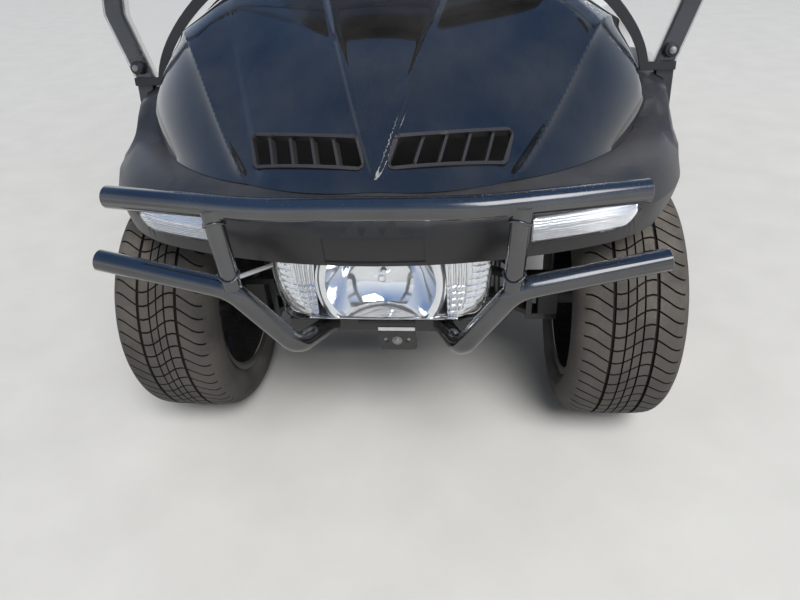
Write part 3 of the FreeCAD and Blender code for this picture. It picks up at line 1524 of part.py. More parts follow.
def hip_restraints():
    """A looped grab tube at each end of the seat."""
    y0 = float(front_axle)
    x = mm("floor_half") + 12 + mm("seat_gap")
    low = mm("pod_top") - 60
    tube = bent_tube([
        Vec(x, y0 + 905, low), Vec(x, y0 + 905, low + 300), Vec(x, y0 + 1215, low + 330),
        Vec(x, y0 + 1240, low)], 12, 60)
    keep(both_sides(solid_of(tube)), "hip_restraints")


hip_restraints()


# Rear body

def rear_body():
    """The rear moulding: fenders and tail around the bag well, open below and over the wheels."""
    wall = mm("rear_body_wall")
    half = mm("body_half")
    y0 = float(front_axle)
    tail = float(rear_axle) + mm("rear_reach") - mm("rear_bumper_depth") - 8
    start = y0 + mm("pod_back") + mm("seat_gap")

    def form(inset, low):
        points = [
            Vec(-half + inset, start + inset, low), Vec(-half + inset, tail - inset, low),
            Vec(-half + inset, tail + 7.7 - inset, mm("rear_body_tail") - 90),
            Vec(-half + inset, tail - 60 - inset, mm("rear_body_tail") - inset),
            Vec(-half + inset, start + 150, mm("rear_body_top") - inset),
            Vec(-half + inset, start + inset, mm("rear_body_top") - inset)]
        face = Part.Face(Part.makePolygon(points + [points[0]]))
        return face.extrude(X_AXIS * (2 * (half - inset)))

    outer = form(0, mm("rocker_bottom"))
    long_edges = [edge for edge in outer.Edges
                  if abs(edge.tangentAt(edge.FirstParameter).x) < 0.01 and edge.CenterOfMass.z > 600]
    outer = outer.makeFillet(46, long_edges)
    inner = form(wall, mm("rocker_bottom") - 50)
    gap = mm("seat_gap")
    well = Part.makeBox(mm("well_half") * 2 + 2 * gap, 1200, 900,
                        Vec(-mm("well_half") - gap, y0 + mm("well_front") - gap, mm("well_floor") - gap))
    rails = big_block((-float(rail_out) - 4, float(rail_out) + 4), (0, 2400), (0, float(rail_high) + 4))
    skin = outer.cut(inner).cut(well).cut(wheel_arch(rear_axle)).cut(rails)
    keep(solid_of(largest(skin)), "rear_body")


rear_body()


def bag_well():
    """The tub that golf bags stand in, open above and behind."""
    wall = mm("well_wall")
    half = mm("well_half")
    y0 = float(front_axle)
    start = y0 + mm("well_front")
    end = float(rear_axle) + mm("rear_reach") - mm("rear_bumper_depth") - 12
    shell = Part.makeBox(half * 2, end - start, mm("rear_body_top") - mm("well_floor") - 20,
                         Vec(-half, start, mm("well_floor")))
    hollow = Part.makeBox(half * 2 - 2 * wall, end - start, 600, Vec(-half + wall, start + wall, mm("well_floor") + wall))
    slope = Part.makePolygon([
        Vec(-half - 10, start + 160, mm("rear_body_top")), Vec(-half - 10, end + 10, mm("rear_body_tail") - 40),
        Vec(-half - 10, end + 10, mm("rear_body_top") + 50), Vec(-half - 10, start + 160, mm("rear_body_top") + 50),
        Vec(-half - 10, start + 160, mm("rear_body_top"))])
    wedge = Part.Face(slope).extrude(X_AXIS * (half * 2 + 20))
    keep(solid_of(largest(shell.cut(hollow).cut(wedge))), "bag_well")


bag_well()


def bag_rack():
    """A tube hoop behind the seat with a shelf bar that the bags lean on."""
    y0 = float(front_axle)
    tube = mm("rack_tube")
    foot_z = mm("rear_body_top") + mm("seat_gap")
    y = y0 + mm("rack_y")
    hoop = bent_tube([
        Vec(-330, y, foot_z), Vec(-330, y, mm("rack_height")), Vec(330, y, mm("rack_height")),
        Vec(330, y, foot_z)], tube, 60)
    bar = Part.makeCylinder(tube * 0.8, 660, Vec(-330, y, foot_z + 200), X_AXIS)
    keep(solid_of(hoop.fuse(bar)), "bag_rack")


bag_rack()


def sweater_basket():
    """An open basket between the backrest and the bag rack."""
    wall = mm("basket_wall")
    half = mm("basket_half")
    y0 = float(front_axle)
    low = mm("basket_floor")
    start = y0 + mm("rack_y") + mm("rack_tube") + mm("seat_gap")
    depth = mm("basket_depth")
    shell = Part.makeBox(half * 2, depth, mm("basket_height"), Vec(-half, start, low))
    hollow = Part.makeBox(half * 2 - 2 * wall, depth - 2 * wall, 400, Vec(-half + wall, start + wall, low + wall))
    keep(solid_of(shell.cut(hollow)), "sweater_basket")


sweater_basket()


def rear_bumper():
    end = rear_axle + size("rear_reach")
    low = size("rear_bumper_bottom")
    bar = block((30 - size("body_half"), size("body_half") - 30), (end - size("rear_bumper_depth"), end),
                (low, low + size("rear_bumper_height")))
    bar = rounded(bar, 16, lambda edge: runs_along(X_AXIS)(edge) and edge.CenterOfMass.y > float(end) - 1)
    stays = []
    for side in (1, -1):
        low_x = side * size("rail_centre") - 20
        stays.append(block((low_x, low_x + 40), (end - size("rear_bumper_depth"), end - 20),
                           (rail_low + 20, low + 10)))
    keep(joined(bar, *stays), "rear_bumper")


rear_bumper()


def tail_lamps():
    y = float(rear_axle) + mm("rear_reach") - mm("rear_bumper_depth")
    lamp = Part.makeBox(90, 14, 70, Vec(mm("body_half") - 150, y, mm("rear_body_tail") - 165))
    lamp = lamp.makeFillet(5, lamp.Edges)
    keep(both_sides(solid_of(lamp)), "tail_lamps")


tail_lamps()


# Rear running gear

def rear_axle_unit():
    """Axle tubes, differential, motor, brake drums and the stub ends that carry the wheels."""
    y = float(rear_axle)
    z = float(axle_height)
    inner_end = mm("half_track") - 34
    tube = Part.makeCylinder(mm("axle_tube"), inner_end * 2, Vec(-inner_end, y, z), X_AXIS)
    stub_end = mm("half_track") + mm("disc_offset") + mm("disc_thickness") - 1
    stub = Part.makeCylinder(mm("spindle_radius"), stub_end * 2, Vec(-stub_end, y, z), X_AXIS)
    drums = []
    for side in (1, -1):
        start = side * (mm("half_track") - 34)
        drums.append(Part.makeCylinder(mm("drum_radius"), mm("drum_width"), Vec(start, y, z), X_AXIS * -side))
    case = Part.makeCylinder(84, 124, Vec(10, y, z), X_AXIS)
    case = case.makeFillet(26, [edge for edge in case.Edges if edge.Curve.TypeId == "Part::GeomCircle"])
    motor = Part.makeCylinder(66, 190, Vec(96, y - 138, z), X_AXIS * -1)
    neck = Part.makeBox(70, 120, 96, Vec(36, y - 125, z - 48))
    lugs = []
    for side in (1, -1):
        lugs.append(Part.makeBox(28, mm("rear_damper_y") + 16, 24,
                                 Vec(side * mm("rear_damper_x") - 14, y, z - 24 - mm("seat_gap"))))
    axle = tube.fuse([stub, case, motor, neck] + drums + lugs)
    keep(solid_of(axle.removeSplitter()), "rear_axle")


rear_axle_unit()


def rear_leaf_springs():
    """A bowed leaf each side, under the axle and hung from the frame at both ends."""
    y0 = float(rear_axle)
    thick = mm("leaf_thickness")
    x = mm("rail_centre") + mm("rail_width") / 2 + 30
    low = float(axle_height) - mm("axle_tube") - thick - mm("seat_gap")
    end_z = mm("rail_bottom") - 30
    reach = 330
    under = Part.Arc(Vec(x, y0 - reach, end_z), Vec(x, y0, low), Vec(x, y0 + reach, end_z)).toShape()
    over = Part.Arc(Vec(x, y0 + reach, end_z + thick), Vec(x, y0, low + thick), Vec(x, y0 - reach, end_z + thick)).toShape()
    ends = [Part.makeLine(Vec(x, y0 + reach, end_z), Vec(x, y0 + reach, end_z + thick)),
            Part.makeLine(Vec(x, y0 - reach, end_z + thick), Vec(x, y0 - reach, end_z))]
    leaf = Part.Face(Part.Wire([under, ends[0], over, ends[1]])).extrude(X_AXIS * mm("leaf_width"))
    hangers = []
    for way in (-1, 1):
        hangers.append(Part.makeBox(mm("leaf_width") + 30 - 0.3, 40, 60,
                                    Vec(x - 30 + 0.3, y0 + way * (reach - 20) - 20, end_z + 4)))
    keep(both_sides(solid_of(leaf.fuse(hangers))), "rear_leaf_springs")


rear_leaf_springs()


def dampers():
    """A damper beside each wheel, upright between the axle or arm and the frame."""
    shapes = []
    high = mm("tower_top") - 8 - mm("seat_gap")
    for y, x, low in ((float(front_axle), mm("front_damper_x"), float(axle_height) + 6.7),
                      (float(rear_axle) + mm("rear_damper_y"), mm("rear_damper_x"), float(axle_height))):
        body = Part.makeCylinder(mm("damper_radius"), (high - low) * 0.55, Vec(x, y, high), Z_AXIS * -1)
        shaft = Part.makeCylinder(mm("damper_radius") * 0.4, high - low, Vec(x, y, low), Z_AXIS)
        shapes.append(body.fuse(shaft))
    keep(both_sides(solid_of(Part.makeCompound(shapes))), "dampers")


dampers()


def write_all():
    doc.recompute()
    for thing in doc.Objects:
        if "Invalid" in thing.State or "Error" in thing.State:
            raise RuntimeError("object %s failed: %s" % (thing.Label, thing.State))
    os.makedirs("parts", exist_ok=True)
    for thing in parts:
        shape = thing.Shape
        if shape.isNull() or not shape.isValid() or not shape.Solids:
            raise RuntimeError("sub-part %s has no valid shape" % thing.Label)
        shape.exportStep(os.path.join("parts", thing.Label + ".step"))
        box = shape.BoundBox
        print("%-20s solids %d volume %9.1f cm3 x %7.1f %7.1f y %7.1f %7.1f z %7.1f %7.1f" % (
            thing.Label, len(shape.Solids), shape.Volume / 1000, box.XMin, box.XMax, box.YMin, box.YMax,
            box.ZMin, box.ZMax))
    print(len(parts), "sub-parts")


write_all()
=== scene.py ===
"""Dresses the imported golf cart: finishes, tyre treads, lamps, cushions, fittings, camera and studio."""
import json
import math
from contextlib import contextmanager

import bpy
from mathutils import Matrix, Vector
from mathutils.bvhtree import BVHTree


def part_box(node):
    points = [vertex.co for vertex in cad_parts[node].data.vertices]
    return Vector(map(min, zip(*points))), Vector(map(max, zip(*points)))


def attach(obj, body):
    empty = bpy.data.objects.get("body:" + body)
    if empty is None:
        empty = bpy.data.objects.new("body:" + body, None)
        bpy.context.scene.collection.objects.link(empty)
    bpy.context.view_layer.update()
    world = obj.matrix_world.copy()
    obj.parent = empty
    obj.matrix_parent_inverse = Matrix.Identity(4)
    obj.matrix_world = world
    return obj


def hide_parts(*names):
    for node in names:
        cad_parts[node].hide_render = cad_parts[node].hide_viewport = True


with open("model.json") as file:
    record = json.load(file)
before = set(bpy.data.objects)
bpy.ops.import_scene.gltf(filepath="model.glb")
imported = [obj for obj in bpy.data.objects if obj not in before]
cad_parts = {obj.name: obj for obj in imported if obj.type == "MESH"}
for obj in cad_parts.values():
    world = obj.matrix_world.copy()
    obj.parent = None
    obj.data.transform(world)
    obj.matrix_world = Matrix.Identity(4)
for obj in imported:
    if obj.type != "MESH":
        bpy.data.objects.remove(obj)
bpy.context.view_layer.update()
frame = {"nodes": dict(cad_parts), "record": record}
nodes = frame["nodes"]

FRONT_AXLE = -0.817
REAR_AXLE = 0.839
WHEEL_CENTRE_X = 0.499
TYRE_RADIUS = 0.285
# points closer than this become one: on a CAD node's copy, and on a piece that is made here
CAD_MERGE, FINE_MERGE = 0.00002, 0.00001


# Camera, floor and light

CAMERA_PLACE = Vector((0.1457, -2.0840, 1.1194))
CAMERA_YAW, CAMERA_PITCH, CAMERA_ROLL = (math.radians(a) for a in (-6.63, 33.78, -3.41))
FOCAL_PIXELS = 602.0
PHOTO_WIDTH = 800.0


def add_camera():
    """The camera's place, turn and lens as they were solved from the photograph."""
    forward = Vector((math.sin(CAMERA_YAW) * math.cos(CAMERA_PITCH),
                      math.cos(CAMERA_YAW) * math.cos(CAMERA_PITCH), -math.sin(CAMERA_PITCH)))
    level = Vector((math.cos(CAMERA_YAW), -math.sin(CAMERA_YAW), 0))
    steep = level.cross(forward)
    right = math.cos(CAMERA_ROLL) * level + math.sin(CAMERA_ROLL) * steep
    up = math.cos(CAMERA_ROLL) * steep - math.sin(CAMERA_ROLL) * level
    data = bpy.data.cameras.new("photo_camera")
    data.sensor_width = 36.0
    data.sensor_fit = "HORIZONTAL"
    data.lens = FOCAL_PIXELS / PHOTO_WIDTH * data.sensor_width
    camera = bpy.data.objects.new("photo_camera", data)
    bpy.context.scene.collection.objects.link(camera)
    turn = Matrix((right, up, -forward)).transposed().to_4x4()
    camera.matrix_world = Matrix.Translation(CAMERA_PLACE) @ turn
    bpy.context.scene.camera = camera


def add_area_light(name, place, target, size, power, tint):
    """A square lamp turned towards its target."""
    data = bpy.data.lights.new(name, "AREA")
    data.shape = "SQUARE"
    data.size = size
    data.energy = power
    data.color = tint
    lamp = bpy.data.objects.new(name, data)
    bpy.context.scene.collection.objects.link(lamp)
    aim = (Vector(target) - Vector(place)).to_track_quat("-Z", "Y")
    lamp.matrix_world = Matrix.Translation(Vector(place)) @ aim.to_matrix().to_4x4()


DAYLIGHT_TINT, KEY_TINT = (1.0, 0.97, 0.93), (1.0, 0.97, 0.92)
# what gloss shows low and high, what stands behind the object, and what lights it from all round
LOW_SKY, HIGH_SKY = (0.86, 0.89, 0.92), (0.10, 0.23, 0.50)
BACKDROP, ALL_ROUND = (0.66, 0.66, 0.66), (0.40, 0.42, 0.45)


def add_studio():
    """A plain studio: even soft daylight, a sweep of blue for gloss to show, and one large lamp."""
    world = bpy.data.worlds.new("studio")
    bpy.context.scene.world = world
    world.use_nodes = True
    tree = world.node_tree
    background = tree.nodes["Background"]
    split = tree.nodes.new("ShaderNodeSeparateXYZ")
    tree.links.new(tree.nodes.new("ShaderNodeTexCoord").outputs["Generated"], split.inputs[0])
    sweep = tree.nodes.new("ShaderNodeValToRGB")
    tree.links.new(split.outputs["Z"], sweep.inputs[0])
    low, high = sweep.color_ramp.elements
    low.position, low.color = 0.02, (*LOW_SKY, 1)
    high.position, high.color = 0.7, (*HIGH_SKY, 1)
    seen = tree.nodes.new("ShaderNodeLightPath")
    straight = add_math(tree, "MAXIMUM", seen.outputs["Is Camera Ray"],
                        seen.outputs["Is Transmission Ray"])
    plain = add_mix(tree, straight, ALL_ROUND, BACKDROP)
    sky = add_mix(tree, seen.outputs["Is Glossy Ray"], plain, sweep.outputs["Color"])
    tree.links.new(sky, background.inputs["Color"])
    background.inputs["Strength"].default_value = 1.0
    data = bpy.data.lights.new("daylight", "SUN")
    data.energy = 3.0
    data.angle = math.radians(28)
    data.color = DAYLIGHT_TINT
    daylight = bpy.data.objects.new("daylight", data)
    daylight.rotation_euler = (math.radians(38), 0, math.radians(24))
    daylight.visible_glossy = False
    bpy.context.scene.collection.objects.link(daylight)
    add_area_light("key", (2.6, -4.4, 5.2), (0, -0.3, 0.5), 3.2, 150, KEY_TINT)
    bpy.context.scene.view_settings.view_transform = "Standard"


# Node groups that several finishes share

def new_group(name, inputs, outputs):
    """An empty node group with number inputs and outputs."""
    tree = bpy.data.node_groups.new(name, "ShaderNodeTree")
    for label, value in inputs:
        socket = tree.interface.new_socket(name=label, in_out="INPUT", socket_type="NodeSocketFloat")
        socket.default_value = value
    for label in outputs:
        tree.interface.new_socket(name=label, in_out="OUTPUT", socket_type="NodeSocketFloat")
    return tree, tree.nodes.new("NodeGroupInput"), tree.nodes.new("NodeGroupOutput")


def link(tree, source, target):
    tree.links.new(source, target)


def add_math(tree, operation, first, second=None, clamp=False):
    """A Math node fed by sockets or numbers."""
    node = tree.nodes.new("ShaderNodeMath")
    node.operation = operation
    node.use_clamp = clamp
    for socket, value in zip(node.inputs, (first, second)):
        if value is None:
            continue
        if isinstance(value, (int, float)):
            socket.default_value = value
        else:
            link(tree, value, socket)
    return node.outputs[0]


def add_range(tree, value, low, high, start=0.0, end=1.0):
    """Spreads what lies from low to high over start to end."""
    node = tree.nodes.new("ShaderNodeMapRange")
    link(tree, value, node.inputs["Value"])
    for label, number in (("From Min", low), ("From Max", high), ("To Min", start), ("To Max", end)):
        node.inputs[label].default_value = number
    return node.outputs[0]


def add_noise(tree, place, scale, detail=3.0, roughness=0.55):
    node = tree.nodes.new("ShaderNodeTexNoise")
    link(tree, place, node.inputs["Vector"])
    if isinstance(scale, (int, float)):
        node.inputs["Scale"].default_value = scale
    else:
        link(tree, scale, node.inputs["Scale"])
    node.inputs["Detail"].default_value = detail
    node.inputs["Roughness"].default_value = roughness
    return node.outputs[0]


def add_cells(tree, place, scale, feature="F1"):
    node = tree.nodes.new("ShaderNodeTexVoronoi")
    node.feature = feature
    link(tree, place, node.inputs["Vector"])
    if isinstance(scale, (int, float)):
        node.inputs["Scale"].default_value = scale
    else:
        link(tree, scale, node.inputs["Scale"])
    return node.outputs["Distance"]


def object_place(tree):
    """The place on the object that every pattern is laid out by."""
    return tree.nodes.new("ShaderNodeTexCoord").outputs["Object"]


def make_grain_group():
    """Pebbled moulding grain: a height, and a slow tone that keeps large areas from looking flat."""
    tree, start, end = new_group("moulded_grain", [("Scale", 900.0)], ["Height", "Tone"])
    place = object_place(tree)
    fine = add_noise(tree, place, start.outputs["Scale"], 2.0)
    cells = add_cells(tree, place, add_math(tree, "MULTIPLY", start.outputs["Scale"], 0.55))
    link(tree, add_math(tree, "ADD", add_math(tree, "MULTIPLY", fine, 0.5), cells), end.inputs["Height"])
    link(tree, add_noise(tree, place, 5.0, 4.0), end.inputs["Tone"])
    return tree


def make_dust_group():
    """Dust that settles on what faces up, in drifts and specks."""
    tree, start, end = new_group("settled_dust", [("Amount", 0.5), ("Drift", 6.0)], ["Mask"])
    place = object_place(tree)
    split = tree.nodes.new("ShaderNodeSeparateXYZ")
    link(tree, tree.nodes.new("ShaderNodeNewGeometry").outputs["Normal"], split.inputs[0])
    upward = add_range(tree, split.outputs["Z"], -0.1, 0.9, 0.12, 1.0)
    drift = add_range(tree, add_noise(tree, place, start.outputs["Drift"], 5.0), 0.35, 0.75)
    specks = add_range(tree, add_noise(tree, place, 420.0, 2.0), 0.62, 0.72)
    both = add_math(tree, "ADD", add_math(tree, "MULTIPLY", drift, 0.6),
                    add_math(tree, "MULTIPLY", specks, 0.8))
    settled = add_math(tree, "MULTIPLY", both, upward)
    mask = add_math(tree, "MULTIPLY", settled, start.outputs["Amount"], True)
    link(tree, mask, end.inputs["Mask"])
    return tree


def make_leather_group():
    """Vinyl hide grain: creased cells of two sizes."""
    tree, start, end = new_group("vinyl_grain", [("Scale", 420.0)], ["Height", "Tone"])
    place = object_place(tree)
    large = add_cells(tree, place, start.outputs["Scale"], "DISTANCE_TO_EDGE")
    small = add_noise(tree, place, add_math(tree, "MULTIPLY", start.outputs["Scale"], 2.2), 2.0)
    creases = add_range(tree, large, 0.0, 0.18)
    height = add_math(tree, "ADD", creases, add_math(tree, "MULTIPLY", small, 0.35))
    link(tree, height, end.inputs["Height"])
    link(tree, add_noise(tree, place, 7.0, 3.0), end.inputs["Tone"])
    return tree


GRAIN, DUST, VINYL = make_grain_group(), make_dust_group(), make_leather_group()


def placed_group(tree, group, **values):
    node = tree.nodes.new("ShaderNodeGroup")
    node.node_tree = group
    for label, value in values.items():
        node.inputs[label].default_value = value
    return node


def add_mix(tree, mask, first, second):
    """Two colours mixed by a mask."""
    node = tree.nodes.new("ShaderNodeMix")
    node.data_type = "RGBA"
    link(tree, mask, node.inputs["Factor"])
    for label, colour in (("A", first), ("B", second)):
        socket = [s for s in node.inputs if s.name == label and s.type == "RGBA"][0]
        if isinstance(colour, tuple):
            socket.default_value = (*colour, 1)
        else:
            link(tree, colour, socket)
    return [s for s in node.outputs if s.type == "RGBA"][0]


DUST_COLOUR = (0.30, 0.27, 0.23)
DUST_ROUGHNESS = 0.45


def finish(name, colour, rough, metal=0.0, coat=0.0, grain=None, relief=0.0, dust=0.0, drift=6.0,
           rough_spread=0.0, tint=None, group=GRAIN, specular=0.5):
    """A finish with its own grain relief, slow tone change and settled dust."""
    material = bpy.data.materials.new(name)
    material.use_nodes = True
    tree = material.node_tree
    shader = tree.nodes["Principled BSDF"]
    shader.inputs["Metallic"].default_value = metal
    shader.inputs["Coat Weight"].default_value = coat
    shader.inputs["Coat Roughness"].default_value = 0.05
    shader.inputs["Specular IOR Level"].default_value = specular
    texture = placed_group(tree, group, Scale=grain or 900.0)
    second = tint or tuple(min(1.0, c * 1.5 + 0.004) for c in colour)
    base = add_mix(tree, add_range(tree, texture.outputs["Tone"], 0.3, 0.7), colour, second)
    roughness = add_range(tree, texture.outputs["Tone"], 0.3, 0.7,
                          rough - rough_spread, rough + rough_spread)
    if dust:
        mask = placed_group(tree, DUST, Amount=dust, Drift=drift).outputs["Mask"]
        base = add_mix(tree, mask, base, DUST_COLOUR)
        rougher = add_math(tree, "MULTIPLY", mask, DUST_ROUGHNESS)
        roughness = add_math(tree, "ADD", roughness, rougher, True)
    link(tree, base, shader.inputs["Base Color"])
    link(tree, roughness, shader.inputs["Roughness"])
    if relief:
        bump = tree.nodes.new("ShaderNodeBump")
        bump.inputs["Strength"].default_value = 1.0
        bump.inputs["Distance"].default_value = relief
        link(tree, texture.outputs["Height"], bump.inputs["Height"])
        link(tree, bump.outputs["Normal"], shader.inputs["Normal"])
    return material


def clear_finish(name, colour, rough, thin=0.0):
    """Clear plastic or glass; thin lets part of the light straight through, as a flat sheet does."""
    material = bpy.data.materials.new(name)
    material.use_nodes = True
    shader = material.node_tree.nodes["Principled BSDF"]
    shader.inputs["Base Color"].default_value = (*colour, 1)
    shader.inputs["Roughness"].default_value = rough
    shader.inputs["Transmission Weight"].default_value = 1.0
    shader.inputs["IOR"].default_value = 1.45
    shader.inputs["Alpha"].default_value = 1.0 - thin
    return material


FINISHES = {
    "black_steel": finish("satin_black_tube", (0.008, 0.008, 0.009), 0.26, coat=0.35, grain=1400.0,
                          relief=0.00004, dust=0.14, drift=9.0, rough_spread=0.06),
    "spring_steel": finish("dull_spring_steel", (0.03, 0.028, 0.026), 0.55, 0.6, grain=500.0,
                           relief=0.0001, dust=0.5),
    "damper": finish("damper_enamel", (0.02, 0.02, 0.022), 0.35, coat=0.3, grain=900.0,
                     relief=0.00004, dust=0.3),
    "gloss_black": finish("gloss_black_body", (0.0035, 0.0038, 0.0045), 0.05, coat=1.0, grain=60.0,
                          dust=0.10, drift=7.0, rough_spread=0.02),
    "charcoal_plastic": finish("charcoal_bezel", (0.016, 0.015, 0.017), 0.5, grain=1500.0,
                               relief=0.00008, dust=0.08),
    "textured_black": finish("textured_black_plastic", (0.013, 0.013, 0.014), 0.36, grain=1300.0,
                             relief=0.00010, dust=0.16, drift=8.0, rough_spread=0.06),
    "clear_lens": clear_finish("lamp_lens_clear", (0.98, 0.99, 1.0), 0.02),
    "clear_pane": clear_finish("windscreen_clear", (0.97, 0.985, 0.98), 0.0, thin=0.35),
    "reflector": finish("vacuum_chrome", (0.90, 0.91, 0.93), 0.08, 0.9, grain=40.0),
    "black_rubber": finish("seal_rubber", (0.006, 0.006, 0.007), 0.42, grain=1100.0,
                           relief=0.00006, dust=0.08),
    "roof_plastic": finish("roof_plastic", (0.035, 0.035, 0.037), 0.5, grain=1000.0,
                           relief=0.00012, dust=0.35),
    "floor_mat": finish("floor_mat_rubber", (0.028, 0.028, 0.029), 0.7, grain=700.0,
                        relief=0.0002, dust=0.7),
    "battery_case": finish("battery_case", (0.06, 0.06, 0.066), 0.5, grain=900.0, relief=0.0001),
    "seat_vinyl": finish("seat_vinyl", (0.036, 0.034, 0.032), 0.42, group=VINYL, grain=420.0,
                         relief=0.00016, dust=0.2, rough_spread=0.06),
    "welt_vinyl": finish("welt_vinyl", (0.020, 0.019, 0.018), 0.40, group=VINYL, grain=700.0,
                         relief=0.00008),
    "red_lens": finish("tail_lamp_red", (0.42, 0.012, 0.01), 0.12, coat=1.0, grain=260.0,
                       relief=0.0002),
    "cast_housing": finish("cast_housing", (0.028, 0.028, 0.029), 0.6, grain=350.0,
                           relief=0.0004, dust=0.5),
    "wheel_grip": finish("soft_grip", (0.015, 0.015, 0.016), 0.5, group=VINYL, grain=700.0,
                         relief=0.00014, dust=0.15),
    "tyre": finish("tyre_rubber", (0.042, 0.040, 0.038), 0.78, grain=500.0, relief=0.00025,
                   dust=0.5, drift=14.0, tint=(0.078, 0.072, 0.066), specular=0.3),
    # painted shade: the grooves' floors and walls get a darker, duller rubber that stands for the shade
    # in them
    "groove_painted_shade": finish("painted_groove_shade_rubber", (0.012, 0.011, 0.010), 0.9, grain=500.0,
                          relief=0.0002, specular=0.15),
    "dark_chrome": finish("dark_chrome_tube", (0.085, 0.086, 0.090), 0.16, 0.95, coat=0.4,
                          grain=1200.0, relief=0.00002, dust=0.30, drift=9.0, rough_spread=0.04),
    "silvered_backing": finish("silvered_backing", (0.80, 0.79, 0.80), 0.22, 0.9, grain=60.0),
    "zinc_bolt": finish("zinc_bolt", (0.24, 0.24, 0.235), 0.34, 0.9, grain=700.0, relief=0.00004,
                        dust=0.2, rough_spread=0.08),
    "bare_aluminium": finish("bare_aluminium", (0.60, 0.60, 0.60), 0.42, 0.7, grain=900.0,
                             relief=0.00003, dust=0.2),
    "black_wheel": finish("gloss_black_rim", (0.006, 0.006, 0.007), 0.14, coat=0.8, grain=200.0,
                          dust=0.3),
}


def dress_nodes():
    """Each CAD node's finish, by the slot that the record gives it."""
    slots = {part["node"]: part["material_slot"] for part in frame["record"]["subparts"]}
    for name, thing in nodes.items():
        thing.data.materials.clear()
        thing.data.materials.append(FINISHES[slots[name]])


# Modelling helpers

def deselect():
    """Back to object mode with nothing selected."""
    if bpy.context.mode != "OBJECT":
        bpy.ops.object.mode_set(mode="OBJECT")
    bpy.ops.object.select_all(action="DESELECT")


def take(piece):
    """Makes one piece the active and only selected one."""
    deselect()
    bpy.context.view_layer.objects.active = piece
    piece.select_set(True)


@contextmanager
def editing(piece):
    """Edit mode on one piece, with all of it selected at the start."""
    take(piece)
    bpy.ops.object.mode_set(mode="EDIT")
    bpy.ops.mesh.select_all(action="SELECT")
    yield
    bpy.ops.object.mode_set(mode="OBJECT")


def settle(piece):
    """Puts a finished piece's place, turn and scale into its mesh."""
    take(piece)
    bpy.ops.object.transform_apply(location=True, rotation=True, scale=True)


def apply_modifier(piece, kind, **settings):
    take(piece)
    modifier = piece.modifiers.new(kind.lower(), kind)
    for label, value in settings.items():
        setattr(modifier, label, value)
    bpy.ops.object.modifier_apply(modifier=modifier.name)


def give(piece, name, body, slot, *stands_for, look=None):
    """Names a piece, gives it its finish and hangs it on its body."""
    piece.name = name
    piece.data.name = name
    piece.data.materials.clear()
    piece.data.materials.append(FINISHES[look or slot])
    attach(piece, body)
    if stands_for:
        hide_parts(*stands_for)
    return piece


def facing(direction):
    """The turn that points an upright shape along a direction."""
    return Vector(direction).to_track_quat("Z", "Y").to_euler()


def soften(piece, width):
    """Rounds the sharp edges."""
    apply_modifier(piece, "BEVEL", width=width, segments=2, limit_method="ANGLE",
                   angle_limit=math.radians(38), use_clamp_overlap=True)


def add_block(low, high, edge=0.0):
    """A block between two corners, its edges rounded."""
    low, high = Vector(low), Vector(high)
    deselect()
    bpy.ops.mesh.primitive_cube_add(size=1.0, location=(low + high) / 2, scale=high - low)
    block = bpy.context.active_object
    settle(block)
    if edge:
        soften(block, edge)
    return block


def add_rod(start, end, radius, sides=24, edge=0.0):
    """A round bar between two points."""
    start, end = Vector(start), Vector(end)
    deselect()
    bpy.ops.mesh.primitive_cone_add(vertices=sides, radius1=radius, radius2=radius,
                                    depth=(end - start).length, location=(start + end) / 2,
                                    rotation=facing(end - start))
    rod = bpy.context.active_object
    settle(rod)
    if edge:
        soften(rod, edge)
    return rod


def add_dome(place, direction, radius, height, sides=24):
    """A round head: half a ball, flattened, with its flat side at the place."""
    deselect()
    bpy.ops.mesh.primitive_uv_sphere_add(segments=sides, ring_count=12, radius=1.0)
    dome = bpy.context.active_object
    with editing(dome):
        bpy.ops.mesh.bisect(plane_co=(0, 0, 0), plane_no=(0, 0, 1), use_fill=True, clear_inner=True)
    dome.scale = (radius, radius, height)
    dome.rotation_euler = facing(direction)
    dome.location = place
    settle(dome)
    return dome


def joined(*parts):
    """The parts as one piece."""
    deselect()
    for part in parts:
        part.select_set(True)
    bpy.context.view_layer.objects.active = parts[0]
    if len(parts) > 1:
        bpy.ops.object.join()
    return bpy.context.active_object


def smoothed(piece, angle=35.0):
    """Smooth shading, with edges sharper than the angle kept."""
    take(piece)
    bpy.ops.object.shade_smooth_by_angle(angle=math.radians(angle))
    return piece


def add_hex_bolt(place, direction, across):
    """A washer, a hexagon head with its corners turned off and the thread's end."""
    place, way = Vector(place), Vector(direction).normalized()
    washer = add_rod(place, place + way * across * 0.09, across * 0.72, 24, across * 0.03)
    top = place + way * (across * 0.09 + across * 0.4)
    head = add_rod(place + way * across * 0.09, top, across * 0.57, 6, across * 0.05)
    end = add_rod(top, top + way * across * 0.1, across * 0.26, 16, across * 0.03)
    return joined(washer, head, end)


def add_screw(place, direction, radius):
    """A round head with a low hexagon rising from its top."""
    place, way = Vector(place), Vector(direction).normalized()
    head = add_dome(place, way, radius, radius * 0.55)
    socket = add_rod(place + way * radius * 0.42, place + way * radius * 0.6, radius * 0.42, 6)
    return joined(head, socket)


def mirrored(piece):
    """The same piece on the other side of the centre line."""
    twin = copied(piece)
    twin.scale.x = -1
    settle(twin)
    with editing(twin):
        bpy.ops.mesh.normals_make_consistent(inside=False)
    return twin


def copied(piece):
    """A copy with a mesh of its own."""
    twin = piece.copy()
    twin.data = piece.data.copy()
    bpy.context.scene.collection.objects.link(twin)
    return twin


def shaped_grid(across, up, place_of):
    """A grid whose points go where place_of puts (share across, share up)."""
    deselect()
    bpy.ops.mesh.primitive_grid_add(x_subdivisions=across, y_subdivisions=up, size=1.0)
    sheet = bpy.context.active_object
    for vertex in sheet.data.vertices:
        vertex.co = place_of(vertex.co.x + 0.5, vertex.co.y + 0.5)
    return sheet


